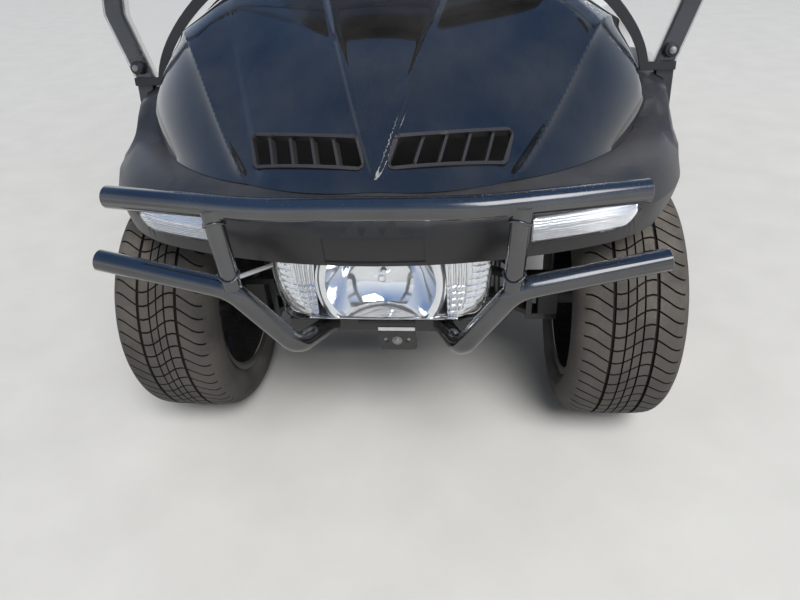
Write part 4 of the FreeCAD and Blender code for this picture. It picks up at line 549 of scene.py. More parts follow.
def closed_sheet(sheet, thickness, outward=1.0, merge=CAD_MERGE):
    """Merges a sheet's seam and gives it a wall."""
    with editing(sheet):
        bpy.ops.mesh.remove_doubles(threshold=merge)
        bpy.ops.mesh.dissolve_degenerate(threshold=merge)
    apply_modifier(sheet, "SOLIDIFY", thickness=thickness, offset=outward)
    with editing(sheet):
        bpy.ops.mesh.normals_make_consistent(inside=False)
    return sheet


def tube_along(points, radius, sides=10, closed=False, upright=(0, 0, 1)):
    """A tube on a line of points."""
    points = [Vector(point) for point in points]
    count = len(points)
    upright = Vector(upright)

    def place(along, around):
        turn = around * 2 * math.pi
        number = round(along * (count if closed else count - 1))
        here = points[number % count]
        ahead = points[(number + 1) % count] if closed or number + 1 < count else here
        behind = points[(number - 1) % count] if closed or number > 0 else here
        way = (ahead - behind).normalized()
        side = way.cross(upright).normalized()
        over = side.cross(way)
        return here + (side * math.cos(turn) + over * math.sin(turn)) * radius

    tube = shaped_grid(count if closed else count - 1, sides, place)
    with editing(tube):
        bpy.ops.mesh.remove_doubles(threshold=FINE_MERGE)
        if not closed:
            bpy.ops.mesh.fill_holes(sides=sides + 2)
        bpy.ops.mesh.normals_make_consistent(inside=False)
    return smoothed(tube, 50)


def rounded_copy(node, name, slot, body="chassis", angle=32.0, bevel=0.0, look=None):
    """The CAD node's own form with merged faces, softened edges and smooth shading."""
    piece = bpy.data.objects.new(name, nodes[node].data.copy())
    bpy.context.scene.collection.objects.link(piece)
    with editing(piece):
        bpy.ops.mesh.remove_doubles(threshold=CAD_MERGE)
        if bevel:
            bpy.ops.mesh.dissolve_limited(angle_limit=math.radians(0.8))
    if bevel:
        soften(piece, bevel)
    smoothed(piece, angle)
    apply_modifier(piece, "WEIGHTED_NORMAL", mode="FACE_AREA_WITH_ANGLE", weight=60, keep_sharp=True)
    return give(piece, name, body, slot, node, look=look)


def face_tree(mesh):
    """A search tree of a mesh's faces, which finds places on it with rays."""
    return BVHTree.FromPolygons([v.co for v in mesh.vertices], [p.vertices for p in mesh.polygons])


# Tyres

MILLI = 0.001
TREAD_PITCHES = 60
PITCH = 2 * math.pi / TREAD_PITCHES
# one pitch of the tread, as shares of it: groove wall, groove floor, groove wall, then the block
ROW_SHARES = (0.0, 0.022, 0.118, 0.14, 0.42, 0.71, 1.0)
GROOVE_ROWS = (1, 2)
# in mm, as all the sizes of the tyre down to its groove tables
GROOVE_DEPTH = 6.0
CROSS_GROOVE_DEPTH = 5.2
CROSS_GROOVE_END, CROSS_GROOVE_FADE = 103.0, 16.0
CROWN_RADIUS, CROWN_DROP, CROWN_HALF = 285.0, 2.0, 72.0
# how far the cross grooves' S swings, in pitches, and its half wave
LEAD_SWING, LEAD_WAVE = 0.5, 62.0
# side wall from the bead to the shoulder: across the tyre and radius
SIDE_WALL = ((92.6, 184.6), (92.6, 196.6), (98.0, 197.6), (101.0, 200.2), (104.6, 202.4),
             (110.4, 213.0), (112.2, 218.0), (113.2, 218.6), (113.8, 226.0), (113.9, 238.0),
             (112.6, 248.0), (108.8, 257.5), (104.6, 264.4), (100.8, 268.8), (96.6, 272.8),
             (91.4, 276.6), (84.8, 279.9), (75.0, 282.2), (60.0, 283.6))
# the grooves that run round one half of the tyre: wall, floor, floor, wall; and half of the middle one
RING_GROOVES = ((45.4, 44.4, 39.6, 38.6), (18.4, 17.9, 15.4, 14.9))
CENTRE_GROOVE = (1.6, 1.1)


def crown(across):
    """The tread's radius, which drops a little away from the middle."""
    return CROWN_RADIUS - CROWN_DROP * (across / CROWN_HALF) ** 2


def tread_columns():
    """Across the tyre: place, radius and whether the column is a groove's floor, closed under the rim."""
    half = [(across, radius, False) for across, radius in SIDE_WALL]
    for walls in RING_GROOVES:
        for number, across in enumerate(walls):
            half.append((across, crown(across), number in (1, 2)))
        half.append((walls[3] - 8.0, crown(walls[3] - 8.0), False))
    half.append((CENTRE_GROOVE[0], CROWN_RADIUS, False))
    half.append((CENTRE_GROOVE[1], CROWN_RADIUS, True))
    left = [(-across, radius, floor) for across, radius, floor in half]
    return left + half[::-1] + [left[0]]


def tread_lead(across):
    """How far a cross groove runs ahead, in pitches: the S that it draws over the tread."""
    across = max(-99.0, min(99.0, across))
    return LEAD_SWING * math.sin(math.pi * across / LEAD_WAVE)


def groove_depth(across, row, ring_floor):
    """How deep the tread is cut; the cross grooves run out on the shoulder."""
    depth = GROOVE_DEPTH if ring_floor else 0.0
    if row in GROOVE_ROWS:
        fade = min(1.0, max(0.0, (CROSS_GROOVE_END - abs(across)) / CROSS_GROOVE_FADE))
        depth = max(depth, CROSS_GROOVE_DEPTH * fade)
    return depth


def make_tyre():
    """One pitch of tread from a grid, spun round the axle; deep faces get a darker, duller finish,
    painted shade in the grooves.
    """
    columns = tread_columns()
    across_faces, round_faces = len(columns) - 1, len(ROW_SHARES) - 1
    deselect()
    bpy.ops.mesh.primitive_grid_add(x_subdivisions=across_faces, y_subdivisions=round_faces, size=1.0)
    tyre = bpy.context.active_object
    tyre.data.materials.append(FINISHES["tyre"])
    tyre.data.materials.append(FINISHES["groove_painted_shade"])
    deep = {}
    for vertex in tyre.data.vertices:
        column = round((vertex.co.x + 0.5) * across_faces)
        row = round((vertex.co.y + 0.5) * round_faces)
        across, radius, ring_floor = columns[column]
        depth = groove_depth(across, row, ring_floor)
        radius = (radius - depth) * MILLI
        turn = (ROW_SHARES[row] + tread_lead(across)) * PITCH
        deep[vertex.index] = depth > GROOVE_DEPTH / 2
        vertex.co = (across * MILLI, -radius * math.cos(turn), radius * math.sin(turn))
    # faces that touch a deep point take the painted groove shade
    for face in tyre.data.polygons:
        face.material_index = int(any(deep[number] for number in face.vertices))
    with editing(tyre):
        bpy.ops.mesh.spin(steps=TREAD_PITCHES - 1, dupli=True, angle=PITCH * (TREAD_PITCHES - 1),
                          center=(0, 0, 0), axis=(1, 0, 0))
        bpy.ops.mesh.select_all(action="SELECT")
        bpy.ops.mesh.remove_doubles(threshold=FINE_MERGE)
        bpy.ops.mesh.normals_make_consistent(inside=False)
    return smoothed(tyre, 30)


WHEELS = (("front_left", 1, FRONT_AXLE), ("front_right", -1, FRONT_AXLE),
          ("rear_left", 1, REAR_AXLE), ("rear_right", -1, REAR_AXLE))


def add_tyres():
    """The treaded tyre and the softened rim of each wheel."""
    first = make_tyre()
    for name, side, axle_y in WHEELS:
        tyre = copied(first)
        tyre.location = (side * WHEEL_CENTRE_X, axle_y, TYRE_RADIUS)
        settle(tyre)
        indices = [face.material_index for face in tyre.data.polygons]
        give(tyre, "treaded_tyre_" + name, "wheel_" + name, "tyre", "tyre_" + name)
        # the second finish is the painted shade in the grooves
        tyre.data.materials.append(FINISHES["groove_painted_shade"])
        tyre.data.polygons.foreach_set("material_index", indices)
        rounded_copy("rim_" + name, "wheel_rim_" + name, "black_wheel", "wheel_" + name, bevel=0.0012)
    bpy.data.objects.remove(first)


# Cushions

CUSHION_NET = 0.0085
CUSHION_SHRINK, CUSHION_SWELL = 0.004, 0.010
CUSHION_PRESSURE = 4.0
CLOTH_FRAMES = 16
SEWN_INSET = 0.052
# depth and half width of the sewn lines: along the border, down the middle, and halfway to each side
BORDER_SEAM, MIDDLE_SEAM, SIDE_SEAM = (0.0052, 0.0060), (0.0060, 0.0065), (0.0030, 0.0055)
PIPING_RADIUS, PIPING_STEP, PIPING_CORNER = 0.0036, 0.012, 0.038


def add_cushion(node, name, body, upright):
    """The cushion's block, shrunk a little and blown up by cloth with a limit to how far it swells."""
    piece = bpy.data.objects.new(name, nodes[node].data.copy())
    bpy.context.scene.collection.objects.link(piece)
    low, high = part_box(node)
    middle = (low + high) / 2
    take(piece)
    apply_modifier(piece, "REMESH", mode="VOXEL", voxel_size=CUSHION_NET)
    spans = high - low
    for vertex in piece.data.vertices:
        for axis in range(3):
            away = (vertex.co[axis] - middle[axis]) / (spans[axis] / 2)
            vertex.co[axis] -= away * CUSHION_SHRINK
    start = [vertex.co.copy() for vertex in piece.data.vertices]
    take(piece)
    cloth = piece.modifiers.new("cloth", "CLOTH")
    cloth.settings.use_pressure = True
    cloth.settings.uniform_pressure_force = CUSHION_PRESSURE
    cloth.settings.effector_weights.gravity = 0.0
    cloth.settings.quality = 4
    cloth.point_cache.frame_start = 1
    cloth.point_cache.frame_end = CLOTH_FRAMES
    for number in range(1, CLOTH_FRAMES + 1):
        bpy.context.scene.frame_set(number)
        bpy.context.evaluated_depsgraph_get().update()
    bpy.ops.object.modifier_apply(modifier=cloth.name)
    bpy.context.scene.frame_set(1)
    for vertex, before in zip(piece.data.vertices, start):
        move = vertex.co - before
        reach = move.length
        if not math.isfinite(reach):
            vertex.co = before
        elif reach > CUSHION_SWELL:
            vertex.co = before + move * (CUSHION_SWELL / reach)
    apply_modifier(piece, "SMOOTH", iterations=4, factor=0.5)
    apply_modifier(piece, "SUBSURF", levels=1, subdivision_type="CATMULL_CLARK")
    sew(piece, middle, spans, upright)
    take(piece)
    bpy.ops.object.shade_smooth()
    give(piece, name, body, "seat_vinyl", node)
    add_piping(piece, name + "_piping", body, middle, upright)


def seam_depth(off, seam):
    """How deep a sewn line draws the cover in at a distance from it."""
    depth, half_width = seam
    return depth * math.exp(-(off / half_width) ** 2)


def sew(piece, middle, spans, upright):
    """Sewn channels on the side that is sat on: along the border, down the middle and beside it."""
    face = Vector((0, -1, 0)) if upright else Vector((0, 0, 1))
    second = 2 if upright else 1
    shifts = []
    for vertex in piece.data.vertices:
        if vertex.normal.dot(face) < 0.4:
            shifts.append(Vector())
            continue
        across = vertex.co.x - middle.x
        along = vertex.co[second] - middle[second]
        border = min(spans.x / 2 - SEWN_INSET - abs(across),
                     spans[second] / 2 - SEWN_INSET - abs(along))
        depth = seam_depth(border, BORDER_SEAM)
        if border > 0:
            quarter = spans.x / 4
            depth = max(depth, seam_depth(across, MIDDLE_SEAM),
                        seam_depth(across - quarter, SIDE_SEAM), seam_depth(across + quarter, SIDE_SEAM))
        shifts.append(vertex.normal * -depth)
    for vertex, shift in zip(piece.data.vertices, shifts):
        vertex.co += shift


def rounded_path(half_x, half_y, radius, step):
    """A rectangle with round corners, as points at about equal steps."""
    path = []
    for number, (x, y) in enumerate(((1, 1), (-1, 1), (-1, -1), (1, -1))):
        corner = Vector((x * (half_x - radius), y * (half_y - radius)))
        for part in range(9):
            turn = math.pi / 2 * (number + part / 8)
            path.append(corner + Vector((math.cos(turn), math.sin(turn))) * radius)
    full = []
    for first, last in zip(path, path[1:] + path[:1]):
        pieces = max(1, round((last - first).length / step))
        full += [first.lerp(last, number / pieces) for number in range(pieces)]
    return full


def add_piping(piece, name, body, middle, upright):
    """The welt along the cushion's edge."""
    tree = face_tree(piece.data)
    inward = Vector((0, 1, 0)) if upright else Vector((0, 0, -1))
    second = 2 if upright else 1
    half_x = max(vertex.co.x for vertex in piece.data.vertices) - middle.x
    half_y = max(abs(vertex.co[second] - middle[second]) for vertex in piece.data.vertices)
    line = []
    for across, along in rounded_path(half_x - 0.012, half_y - 0.016, PIPING_CORNER, PIPING_STEP):
        start = middle.copy()
        start.x += across
        start[second] += along
        hit = tree.ray_cast(start - inward * 0.3, inward)[0]
        if hit is not None:
            line.append(hit - inward * 0.0008)
    for _ in range(3):
        line = [(line[number - 1] + line[number] * 2 + line[(number + 1) % len(line)]) / 4
                for number in range(len(line))]
    welt = tube_along(line, PIPING_RADIUS, 10, True, inward)
    give(welt, name, body, "seat_vinyl", look="welt_vinyl")


def add_cushions():
    add_cushion("seat_cushion", "bench_cushion", "seat_lid", False)
    add_cushion("back_cushion", "backrest_cushion", "chassis", True)


# CAD pieces that keep their form and get merged faces and softened edges

SOFTENED = (
    # node, piece, finish, body, smoothing angle, edge radius
    ("front_bumper", "bumper_skin", "textured_black", "chassis", 36, 0),
    ("vent_grilles", "vent_bezels", "charcoal_plastic", "chassis", 30, 0),
    ("side_lamps", "side_lamp_lenses", "clear_lens", "chassis", 30, 0),
    ("headlamp_lens", "headlamp_glass", "clear_lens", "chassis", 30, 0),
    ("front_posts", "windscreen_posts", "black_steel", "chassis", 30, 0.003),
    ("windscreen_seal", "windscreen_rubber", "black_rubber", "chassis", 30, 0.002),
    ("screen_knobs", "windscreen_knobs", "black_rubber", "chassis", 40, 0),
    ("roof", "roof_shell", "roof_plastic", "chassis", 35, 0.004),
    ("rear_posts", "roof_posts", "black_steel", "chassis", 30, 0.003),
    ("dashboard", "dash_moulding", "textured_black", "chassis", 30, 0.004),
    ("steering_column", "column_cover", "black_steel", "chassis", 35, 0.001),
    ("steering_wheel", "steering_rim", "wheel_grip", "steering_wheel_body", 40, 0),
    ("rocker_panels", "rocker_mouldings", "textured_black", "chassis", 30, 0.005),
    ("seat_pod", "seat_base_moulding", "textured_black", "chassis", 30, 0.004),
    ("rear_body", "rear_body_skin", "gloss_black", "chassis", 30, 0.003),
    ("bag_well", "bag_well_liner", "textured_black", "chassis", 30, 0.003),
    ("bag_rack", "bag_rack_tube", "black_steel", "chassis", 40, 0),
    ("sweater_basket", "basket_moulding", "textured_black", "chassis", 30, 0.002),
    ("rear_bumper", "rear_bumper_moulding", "textured_black", "chassis", 30, 0.004),
    ("tail_lamps", "tail_lamp_lenses", "red_lens", "chassis", 30, 0.002),
    ("hip_restraints", "hip_rails", "black_steel", "chassis", 40, 0),
    ("back_board", "backrest_board", "textured_black", "chassis", 30, 0.003),
    ("floor", "floor_tray", "floor_mat", "chassis", 30, 0.003),
    ("brake_pedal", "brake_pedal_pad", "black_rubber", "chassis", 30, 0.002),
    ("accelerator_pedal", "accelerator_pedal_pad", "black_rubber", "chassis", 30, 0.002),
    ("knuckle_left", "knuckle_casting_left", "cast_housing", "knuckle_left_body", 35, 0.002),
    ("knuckle_right", "knuckle_casting_right", "cast_housing", "knuckle_right_body", 35, 0.002),
    ("tie_rod", "tie_rod_bar", "black_steel", "tie_rod_body", 35, 0),
    ("rear_axle", "rear_axle_casting", "cast_housing", "chassis", 35, 0),
    ("dampers", "damper_bodies", "damper", "chassis", 35, 0),
    ("front_bracket", "bracket_plate", "black_steel", "chassis", 30, 0.0008),
)


def add_softened():
    for node, name, slot, body, angle, bevel in SOFTENED:
        rounded_copy(node, name, slot, body, angle, bevel)
    rounded_copy("brush_guard", "guard_tubes", "black_steel", angle=40, look="dark_chrome")


# Cowl

# the point at the cowl's rear base that the planes of its net turn about
COWL_FOOT = Vector((0, -0.5558, 0.6974))
COWL_LEANS, COWL_ROWS, COWL_COLUMNS = 300, 128, 280
COWL_WALL = 0.0035
COWL_NOSE_Y = -1.100
NET_TIGHTENING = 1.3
VENT_MIDDLE = (0.134, -1.054, 0.751)
VENT_HALF, VENT_RISE = 0.1203, 0.0363
VENT_CORNER = 0.014
# how far from the centre line the cowl's lines run, as a curve of the way back from the nose
INNER_RIDGE, VALLEY, OUTER_RIDGE = (0.0, 0.42, -0.25), (0.215, 0.42, -0.18), (0.228, 0.63, -0.14)
RIB_HEIGHT, RIB_WIDTH = 0.0044, 0.0060
PANEL_RISE, PANEL_STEP = 0.0030, 0.0030
VALLEY_DEPTH, VALLEY_WIDTH = 0.0045, 0.016
CREST_RISE, CREST_WIDTH = 0.0085, 0.012


def curve_at(terms, place):
    """A curve of three terms at a place along it."""
    first, second, third = terms
    return first + second * place + third * place * place


def cowl_arch(tree, lean, steps=400):
    """Where a leaning plane crosses the cowl's outer form; openings are bridged with the form's slope."""
    found = []
    for number in range(steps + 1):
        turn = math.pi * number / steps
        way = Vector((math.cos(turn), -math.sin(turn) * math.cos(lean), math.sin(turn) * math.sin(lean)))
        hit, normal = tree.ray_cast(COWL_FOOT + way * 1.3, -way, 1.299)[:2]
        outside = hit is not None and normal.dot(way) > 0.33 and normal.z > -0.02
        found.append(hit if outside else None)
    if steps < 4:
        return found
    sound = [number for number, hit in enumerate(found) if hit is not None]
    for first, last in zip(sound, sound[1:]):
        if last - first < 2:
            continue
        start, end = found[first], found[last]
        lead = (start - (found[first - 3] or start)) / 3 * (last - first)
        trail = ((found[min(steps, last + 3)] or end) - end) / 3 * (last - first)
        for number in range(first + 1, last):
            t = (number - first) / (last - first)
            found[number] = (start * (2 * t ** 3 - 3 * t ** 2 + 1) + lead * (t ** 3 - 2 * t ** 2 + t)
                             + end * (3 * t ** 2 - 2 * t ** 3) + trail * (t ** 3 - t ** 2))
    return [hit for hit in found if hit is not None]


def closeness(spot):
    """How much closer the net's lines lie at a place than on the plain panels."""
    across, crest = abs(spot.x), curve_at(OUTER_RIDGE, spot.y - COWL_NOSE_Y)
    middle_panel = 1 / (1 + math.exp((across - 0.125) / 0.01))
    beside_crest = math.exp(-((across - crest) / 0.025) ** 2)
    return 1 + NET_TIGHTENING * middle_panel + NET_TIGHTENING * beside_crest


def evenly(points, count):
    """Points along a line at steps that shorten towards the ribs."""
    walked = [0.0]
    for first, last in zip(points, points[1:]):
        walked.append(walked[-1] + (last - first).length * closeness(first))
    even, at = [], 0
    for number in range(count + 1):
        goal = walked[-1] * number / count
        while at < len(points) - 2 and walked[at + 1] < goal:
            at += 1
        step = walked[at + 1] - walked[at]
        even.append(points[at].lerp(points[at + 1], (goal - walked[at]) / step if step else 0.0))
    return even


def cowl_relief(spot):
    """Ribs that bound the raised middle panel, and a fluted crest over each fender.

    Their lines follow the photograph and their heights are chosen.
    """
    across, along = abs(spot.x), spot.y - COWL_NOSE_Y
    inner = (across - curve_at(INNER_RIDGE, along)) * 0.93
    rib = RIB_HEIGHT * math.exp(-(inner / RIB_WIDTH) ** 2)
    height = rib + PANEL_RISE / (1 + math.exp(inner / PANEL_STEP))
    valley, crest = curve_at(VALLEY, along), curve_at(OUTER_RIDGE, along)
    share = (across - valley) / (crest - valley)
    if share < 0:
        flute = -VALLEY_DEPTH * math.exp(-((across - valley) / VALLEY_WIDTH) ** 2)
    elif share < 1:
        flute = -VALLEY_DEPTH + (VALLEY_DEPTH + CREST_RISE) * share ** 2.2
    else:
        flute = CREST_RISE * math.exp(-(across - crest) / CREST_WIDTH)
    front = min(1.0, max(0.0, (along - 0.005) / 0.05))
    return height * min(1.0, max(0.0, along / 0.03 + 0.6)) + flute * front * front * (3 - 2 * front)


def vent_cutter(side):
    """A prism on the vent's outline: four corners, rounded, leaning with the cowl's slope."""
    corners = [Vector((-side * (VENT_HALF + 0.002), 0.006 - VENT_RISE)),
               Vector((side * (VENT_HALF - 0.024), -VENT_RISE)),
               Vector((side * (VENT_HALF + 0.004), VENT_RISE + 0.005)),
               Vector((-side * (VENT_HALF - 0.022), VENT_RISE + 0.003))]
    outline = []
    for number, corner in enumerate(corners):
        before = (corners[number - 1] - corner).normalized()
        after = (corners[(number + 1) % 4] - corner).normalized()
        half = before.angle(after) / 2
        centre = corner + (before + after).normalized() * VENT_CORNER / math.sin(half)
        reach = VENT_CORNER / math.tan(half)
        first, last = corner + before * reach - centre, corner + after * reach - centre
        outline += [centre + first.lerp(last, step / 8).normalized() * VENT_CORNER for step in range(9)]
    count = len(outline)
    deselect()
    bpy.ops.mesh.primitive_cylinder_add(vertices=count, radius=1.0, depth=0.12)
    cutter = bpy.context.active_object
    for vertex in cutter.data.vertices:
        turn = math.atan2(vertex.co.x, vertex.co.y) % (2 * math.pi)
        point = outline[round(turn / (2 * math.pi) * count) % count]
        vertex.co.x, vertex.co.y = point
    turned = Matrix.Rotation(math.radians(side * 10), 4, "Z") @ Matrix.Rotation(math.radians(40), 4, "X")
    cutter.matrix_world = Matrix.Translation((side * VENT_MIDDLE[0], *VENT_MIDDLE[1:])) @ turned
    settle(cutter)
    with editing(cutter):
        bpy.ops.mesh.normals_make_consistent(inside=False)
    return cutter


def add_cowl():
    """The cowl's skin as an even net over its form, relaxed, with ribs raised and vents cut."""
    tree = face_tree(nodes["front_cowl"].data)
    leans = [math.pi / 2 * number / COWL_LEANS for number in range(COWL_LEANS + 1)]
    spine = [cowl_arch(tree, lean, 2)[1] for lean in leans]
    walked = [0.0]
    for first, last in zip(spine, spine[1:]):
        walked.append(walked[-1] + (last - first).length)
    rows, at = [], 0
    for number in range(COWL_ROWS + 1):
        goal = walked[-1] * number / COWL_ROWS
        while at < COWL_LEANS - 1 and walked[at + 1] < goal:
            at += 1
        share = (goal - walked[at]) / (walked[at + 1] - walked[at])
        lean = leans[at] + (leans[at + 1] - leans[at]) * share
        rows.append(evenly(cowl_arch(tree, lean), COWL_COLUMNS))
    skin = shaped_grid(COWL_COLUMNS, COWL_ROWS,
                       lambda across, up: rows[round(up * COWL_ROWS)][round(across * COWL_COLUMNS)])
    if skin.data.polygons[len(skin.data.polygons) // 2].normal.z < 0:
        with editing(skin):
            bpy.ops.mesh.flip_normals()
    with editing(skin):
        bpy.ops.mesh.select_mode(type="VERT")
        bpy.ops.mesh.select_all(action="DESELECT")
        bpy.ops.mesh.select_non_manifold()
        bpy.ops.mesh.select_all(action="INVERT")
        bpy.ops.mesh.vertices_smooth(factor=0.5, repeat=14)
    shifts = [vertex.normal * cowl_relief(vertex.co) for vertex in skin.data.vertices]
    for vertex, shift in zip(skin.data.vertices, shifts):
        vertex.co += shift
    closed_sheet(skin, COWL_WALL, -1.0, FINE_MERGE)
    for side in (1, -1):
        cutter = vent_cutter(side)
        apply_modifier(skin, "BOOLEAN", operation="DIFFERENCE", solver="EXACT", object=cutter)
        bpy.data.objects.remove(cutter)
    smoothed(skin, 30)
    give(skin, "cowl_skin", "chassis", "gloss_black", "front_cowl")


# Headlamp

LAMP_FACE = FRONT_AXLE - 0.320
BOWL_CENTRE = 0.514
# the bowl's mouth for the bulb, its rim, and the flat ring round it; the share of the net within the rim
BOWL_NECK, BOWL_RADIUS, BOWL_RING = 0.011, 0.106, 0.124
BOWL_DEPTH, BOWL_SHARE = 0.076, 0.86
LAMP_FLOOR, LAMP_CEILING = 0.4405, 0.584
REFLECTOR_WALL = 0.0012
# the lens's half width at heights
LENS_WIDTHS = ((0.434, 0.156), (0.442, 0.172), (0.456, 0.191), (0.476, 0.201), (0.500, 0.206),
               (0.545, 0.211), (0.590, 0.214))
# the flange under the lens: height and half width of its straight part, and the share that is straight
FLANGE_Z, FLANGE_HALF, FLANGE_STRAIGHT = 0.4325, 0.166, 0.62
FLANGE_STEPS = 60


def lens_half(height):
    """The lens's half width at a height."""
    for (low, first), (high, second) in zip(LENS_WIDTHS, LENS_WIDTHS[1:]):
        if height <= high:
            share = max(0.0, (height - low) / (high - low))
            return first + (second - first) * share
    return LENS_WIDTHS[-1][1]


def bowl_point(turn_share, share):
    """From the bulb out to the rim and over the flat ring round it, cut level at floor and ceiling."""
    turn = turn_share * 2 * math.pi
    if share < BOWL_SHARE:
        radius = BOWL_NECK + (BOWL_RADIUS - BOWL_NECK) * share / BOWL_SHARE
        panel = radius * math.cos(turn) / BOWL_RADIUS
        facet = 0.0022 * abs(math.sin(panel * 4.2)) * share
        back = BOWL_DEPTH * (1 - (radius / BOWL_RADIUS) ** 3.0) - facet
    else:
        along = (share - BOWL_SHARE) / (1 - BOWL_SHARE)
        radius = BOWL_RADIUS + (BOWL_RING - BOWL_RADIUS) * along
        back = -0.0025 * math.sin(math.pi * along)
    height = BOWL_CENTRE + radius * math.sin(turn)
    return (radius * math.cos(turn), LAMP_FACE + back, max(LAMP_FLOOR, min(LAMP_CEILING, height)))


def pocket_point(side):
    """The fluted reflector beside the bowl: pillows near it, long curved flutes towards the outside."""
    def place(across, up):
        height = LAMP_FLOOR + 0.001 + (LAMP_CEILING - LAMP_FLOOR - 0.002) * up
        inner = 0.119 + 0.006 * math.cos(up * 1.6)
        outer = lens_half(height) - 0.0085
        x = inner + (outer - inner) * across
        rows = abs(math.sin(math.pi * (up * 10.0 + 0.55 * across * across)))
        columns = abs(math.sin(math.pi * across * 8.0))
        fade = min(1.0, max(0.0, (across - 0.5) / 0.2))
        tall = min(1.0, max(0.0, (up - 0.5) / 0.15)) * (1 - fade)
        pillow = min(columns + fade, rows + tall)
        y = LAMP_FACE + 0.006 + 0.026 * across ** 2.2 - 0.0042 * min(1.0, pillow) ** 0.6
        return (side * x, y, height)
    return place


def flange_point(along, deep):
    """The flange's line: straight in the middle, bent up round each corner, then rising."""
    number = round(along * FLANGE_STEPS)
    share = abs(number - FLANGE_STEPS // 2) / (FLANGE_STEPS / 2)
    side = -1 if number < FLANGE_STEPS // 2 else 1
    x, height = FLANGE_HALF * share / FLANGE_STRAIGHT, FLANGE_Z
    if share >= FLANGE_STRAIGHT:
        turn = (share - FLANGE_STRAIGHT) / (1 - FLANGE_STRAIGHT)
        bend = min(1.0, turn / 0.4) * math.pi / 2 * 0.86
        rise = max(0.0, turn - 0.4)
        x = FLANGE_HALF + 0.026 * math.sin(bend) + 0.020 * rise
        height = FLANGE_Z + 0.026 * (1 - math.cos(bend)) + 0.16 * rise
    return (side * x, FRONT_AXLE - 0.313 + 0.020 * deep, height)


def add_headlamp():
    """Reflector, housing, socket, bulb and shield inside the lens, and the flange under it."""
    parts = [closed_sheet(shaped_grid(96, 34, bowl_point), REFLECTOR_WALL)]
    for side in (1, -1):
        parts.append(closed_sheet(shaped_grid(80, 90, pocket_point(side)), REFLECTOR_WALL))
    floor_plate = shaped_grid(40, 4, lambda a, b: (
        (a - 0.5) * 0.29, LAMP_FACE - 0.004 + b * 0.05, LAMP_FLOOR - 0.0008))
    parts.append(closed_sheet(floor_plate, 0.001))
    reflector = smoothed(joined(*parts), 30)
    give(reflector, "headlamp_reflector", "chassis", "reflector", "headlamp_body")
    back = LAMP_FACE + 0.0755
    shell = add_block((-0.196, back + 0.0015, 0.452), (0.196, back + 0.008, 0.586), 0.003)
    give(smoothed(shell), "headlamp_housing", "chassis", "reflector", look="charcoal_plastic")

    def on_axis(ahead):
        return (0, back - ahead, BOWL_CENTRE)

    socket = joined(add_rod(on_axis(0.0), on_axis(0.010), 0.013, 32, 0.001),
                    add_rod(on_axis(0.010), on_axis(0.016), 0.009, 32, 0.0008))
    give(smoothed(socket), "headlamp_bulb_socket", "chassis", "reflector")
    bulb = joined(add_rod(on_axis(0.016), on_axis(0.042), 0.0065, 24),
                  add_dome(on_axis(0.042), (0, -1, 0), 0.0065, 0.006))
    give(smoothed(bulb), "headlamp_bulb", "chassis", "clear_lens")
    cap = joined(add_dome(on_axis(0.0475), (0, -1, 0), 0.009, 0.005),
                 add_rod(on_axis(0.0475), on_axis(0.038), 0.009, 24),
                 add_block((-0.001, back - 0.046, BOWL_CENTRE - 0.010),
                           (0.001, back - 0.012, BOWL_CENTRE - 0.0075)))
    give(smoothed(cap), "headlamp_bulb_shield", "chassis", "reflector")
    flange = closed_sheet(shaped_grid(FLANGE_STEPS, 2, flange_point), 0.0030, -1.0)
    give(smoothed(flange), "headlamp_flange", "chassis", "clear_lens")


# Side lamps

WEAVE_ACROSS, WEAVE_UP, WEAVE_RELIEF = 0.0034, 0.0042, 0.0011


def add_side_lamps():
    """A silvered backing with a fine woven relief behind each clear lens."""
    tree = face_tree(nodes["side_lamps"].data)
    low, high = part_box("side_lamps")
    for side, name in ((1, "left"), (-1, "right")):
        inner, outer = 0.2725, high.x - 0.0012

        def place(across, up):
            x = side * (inner + (outer - inner) * across)
            z = low.z + 0.002 + (high.z - low.z - 0.004) * up
            hit = tree.ray_cast(Vector((x, -1.6, z)), Vector((0, 1, 0)))[0]
            if hit is None:
                return (x, 0.0, z)
            weave = 0.5 * abs(math.sin(math.pi * (x - hit.y * 0.3) / WEAVE_ACROSS))
            weave += abs(math.sin(math.pi * z / WEAVE_UP))
            return (x, hit.y + 0.0088 - WEAVE_RELIEF * weave, z)

        sheet = shaped_grid(190, 50, place)
        take(sheet)
        bpy.ops.object.mode_set(mode="EDIT")
        bpy.ops.mesh.select_all(action="DESELECT")
        bpy.ops.object.mode_set(mode="OBJECT")
        for vertex in sheet.data.vertices:
            vertex.select = vertex.co.y > -0.5
        bpy.ops.object.mode_set(mode="EDIT")
        bpy.ops.mesh.delete(type="VERT")
        bpy.ops.object.mode_set(mode="OBJECT")
        smoothed(closed_sheet(sheet, REFLECTOR_WALL), 50)
        give(sheet, "side_lamp_backing_" + name, "chassis", "reflector", look="silvered_backing")


# Brush guard

GUARD_FRONT = -1.281 + 0.019
GUARD_RADIUS, UPRIGHT_RADIUS = 0.019, 0.0162
# ends of the guard's tubes on the left, and the way each one faces
GUARD_ENDS = (((0.432, GUARD_FRONT + 0.056, 0.731), (0.264, 0.056, 0.0)),
              ((0.482, GUARD_FRONT + 0.048, 0.615), (0.242, 0.038, 0.035)))


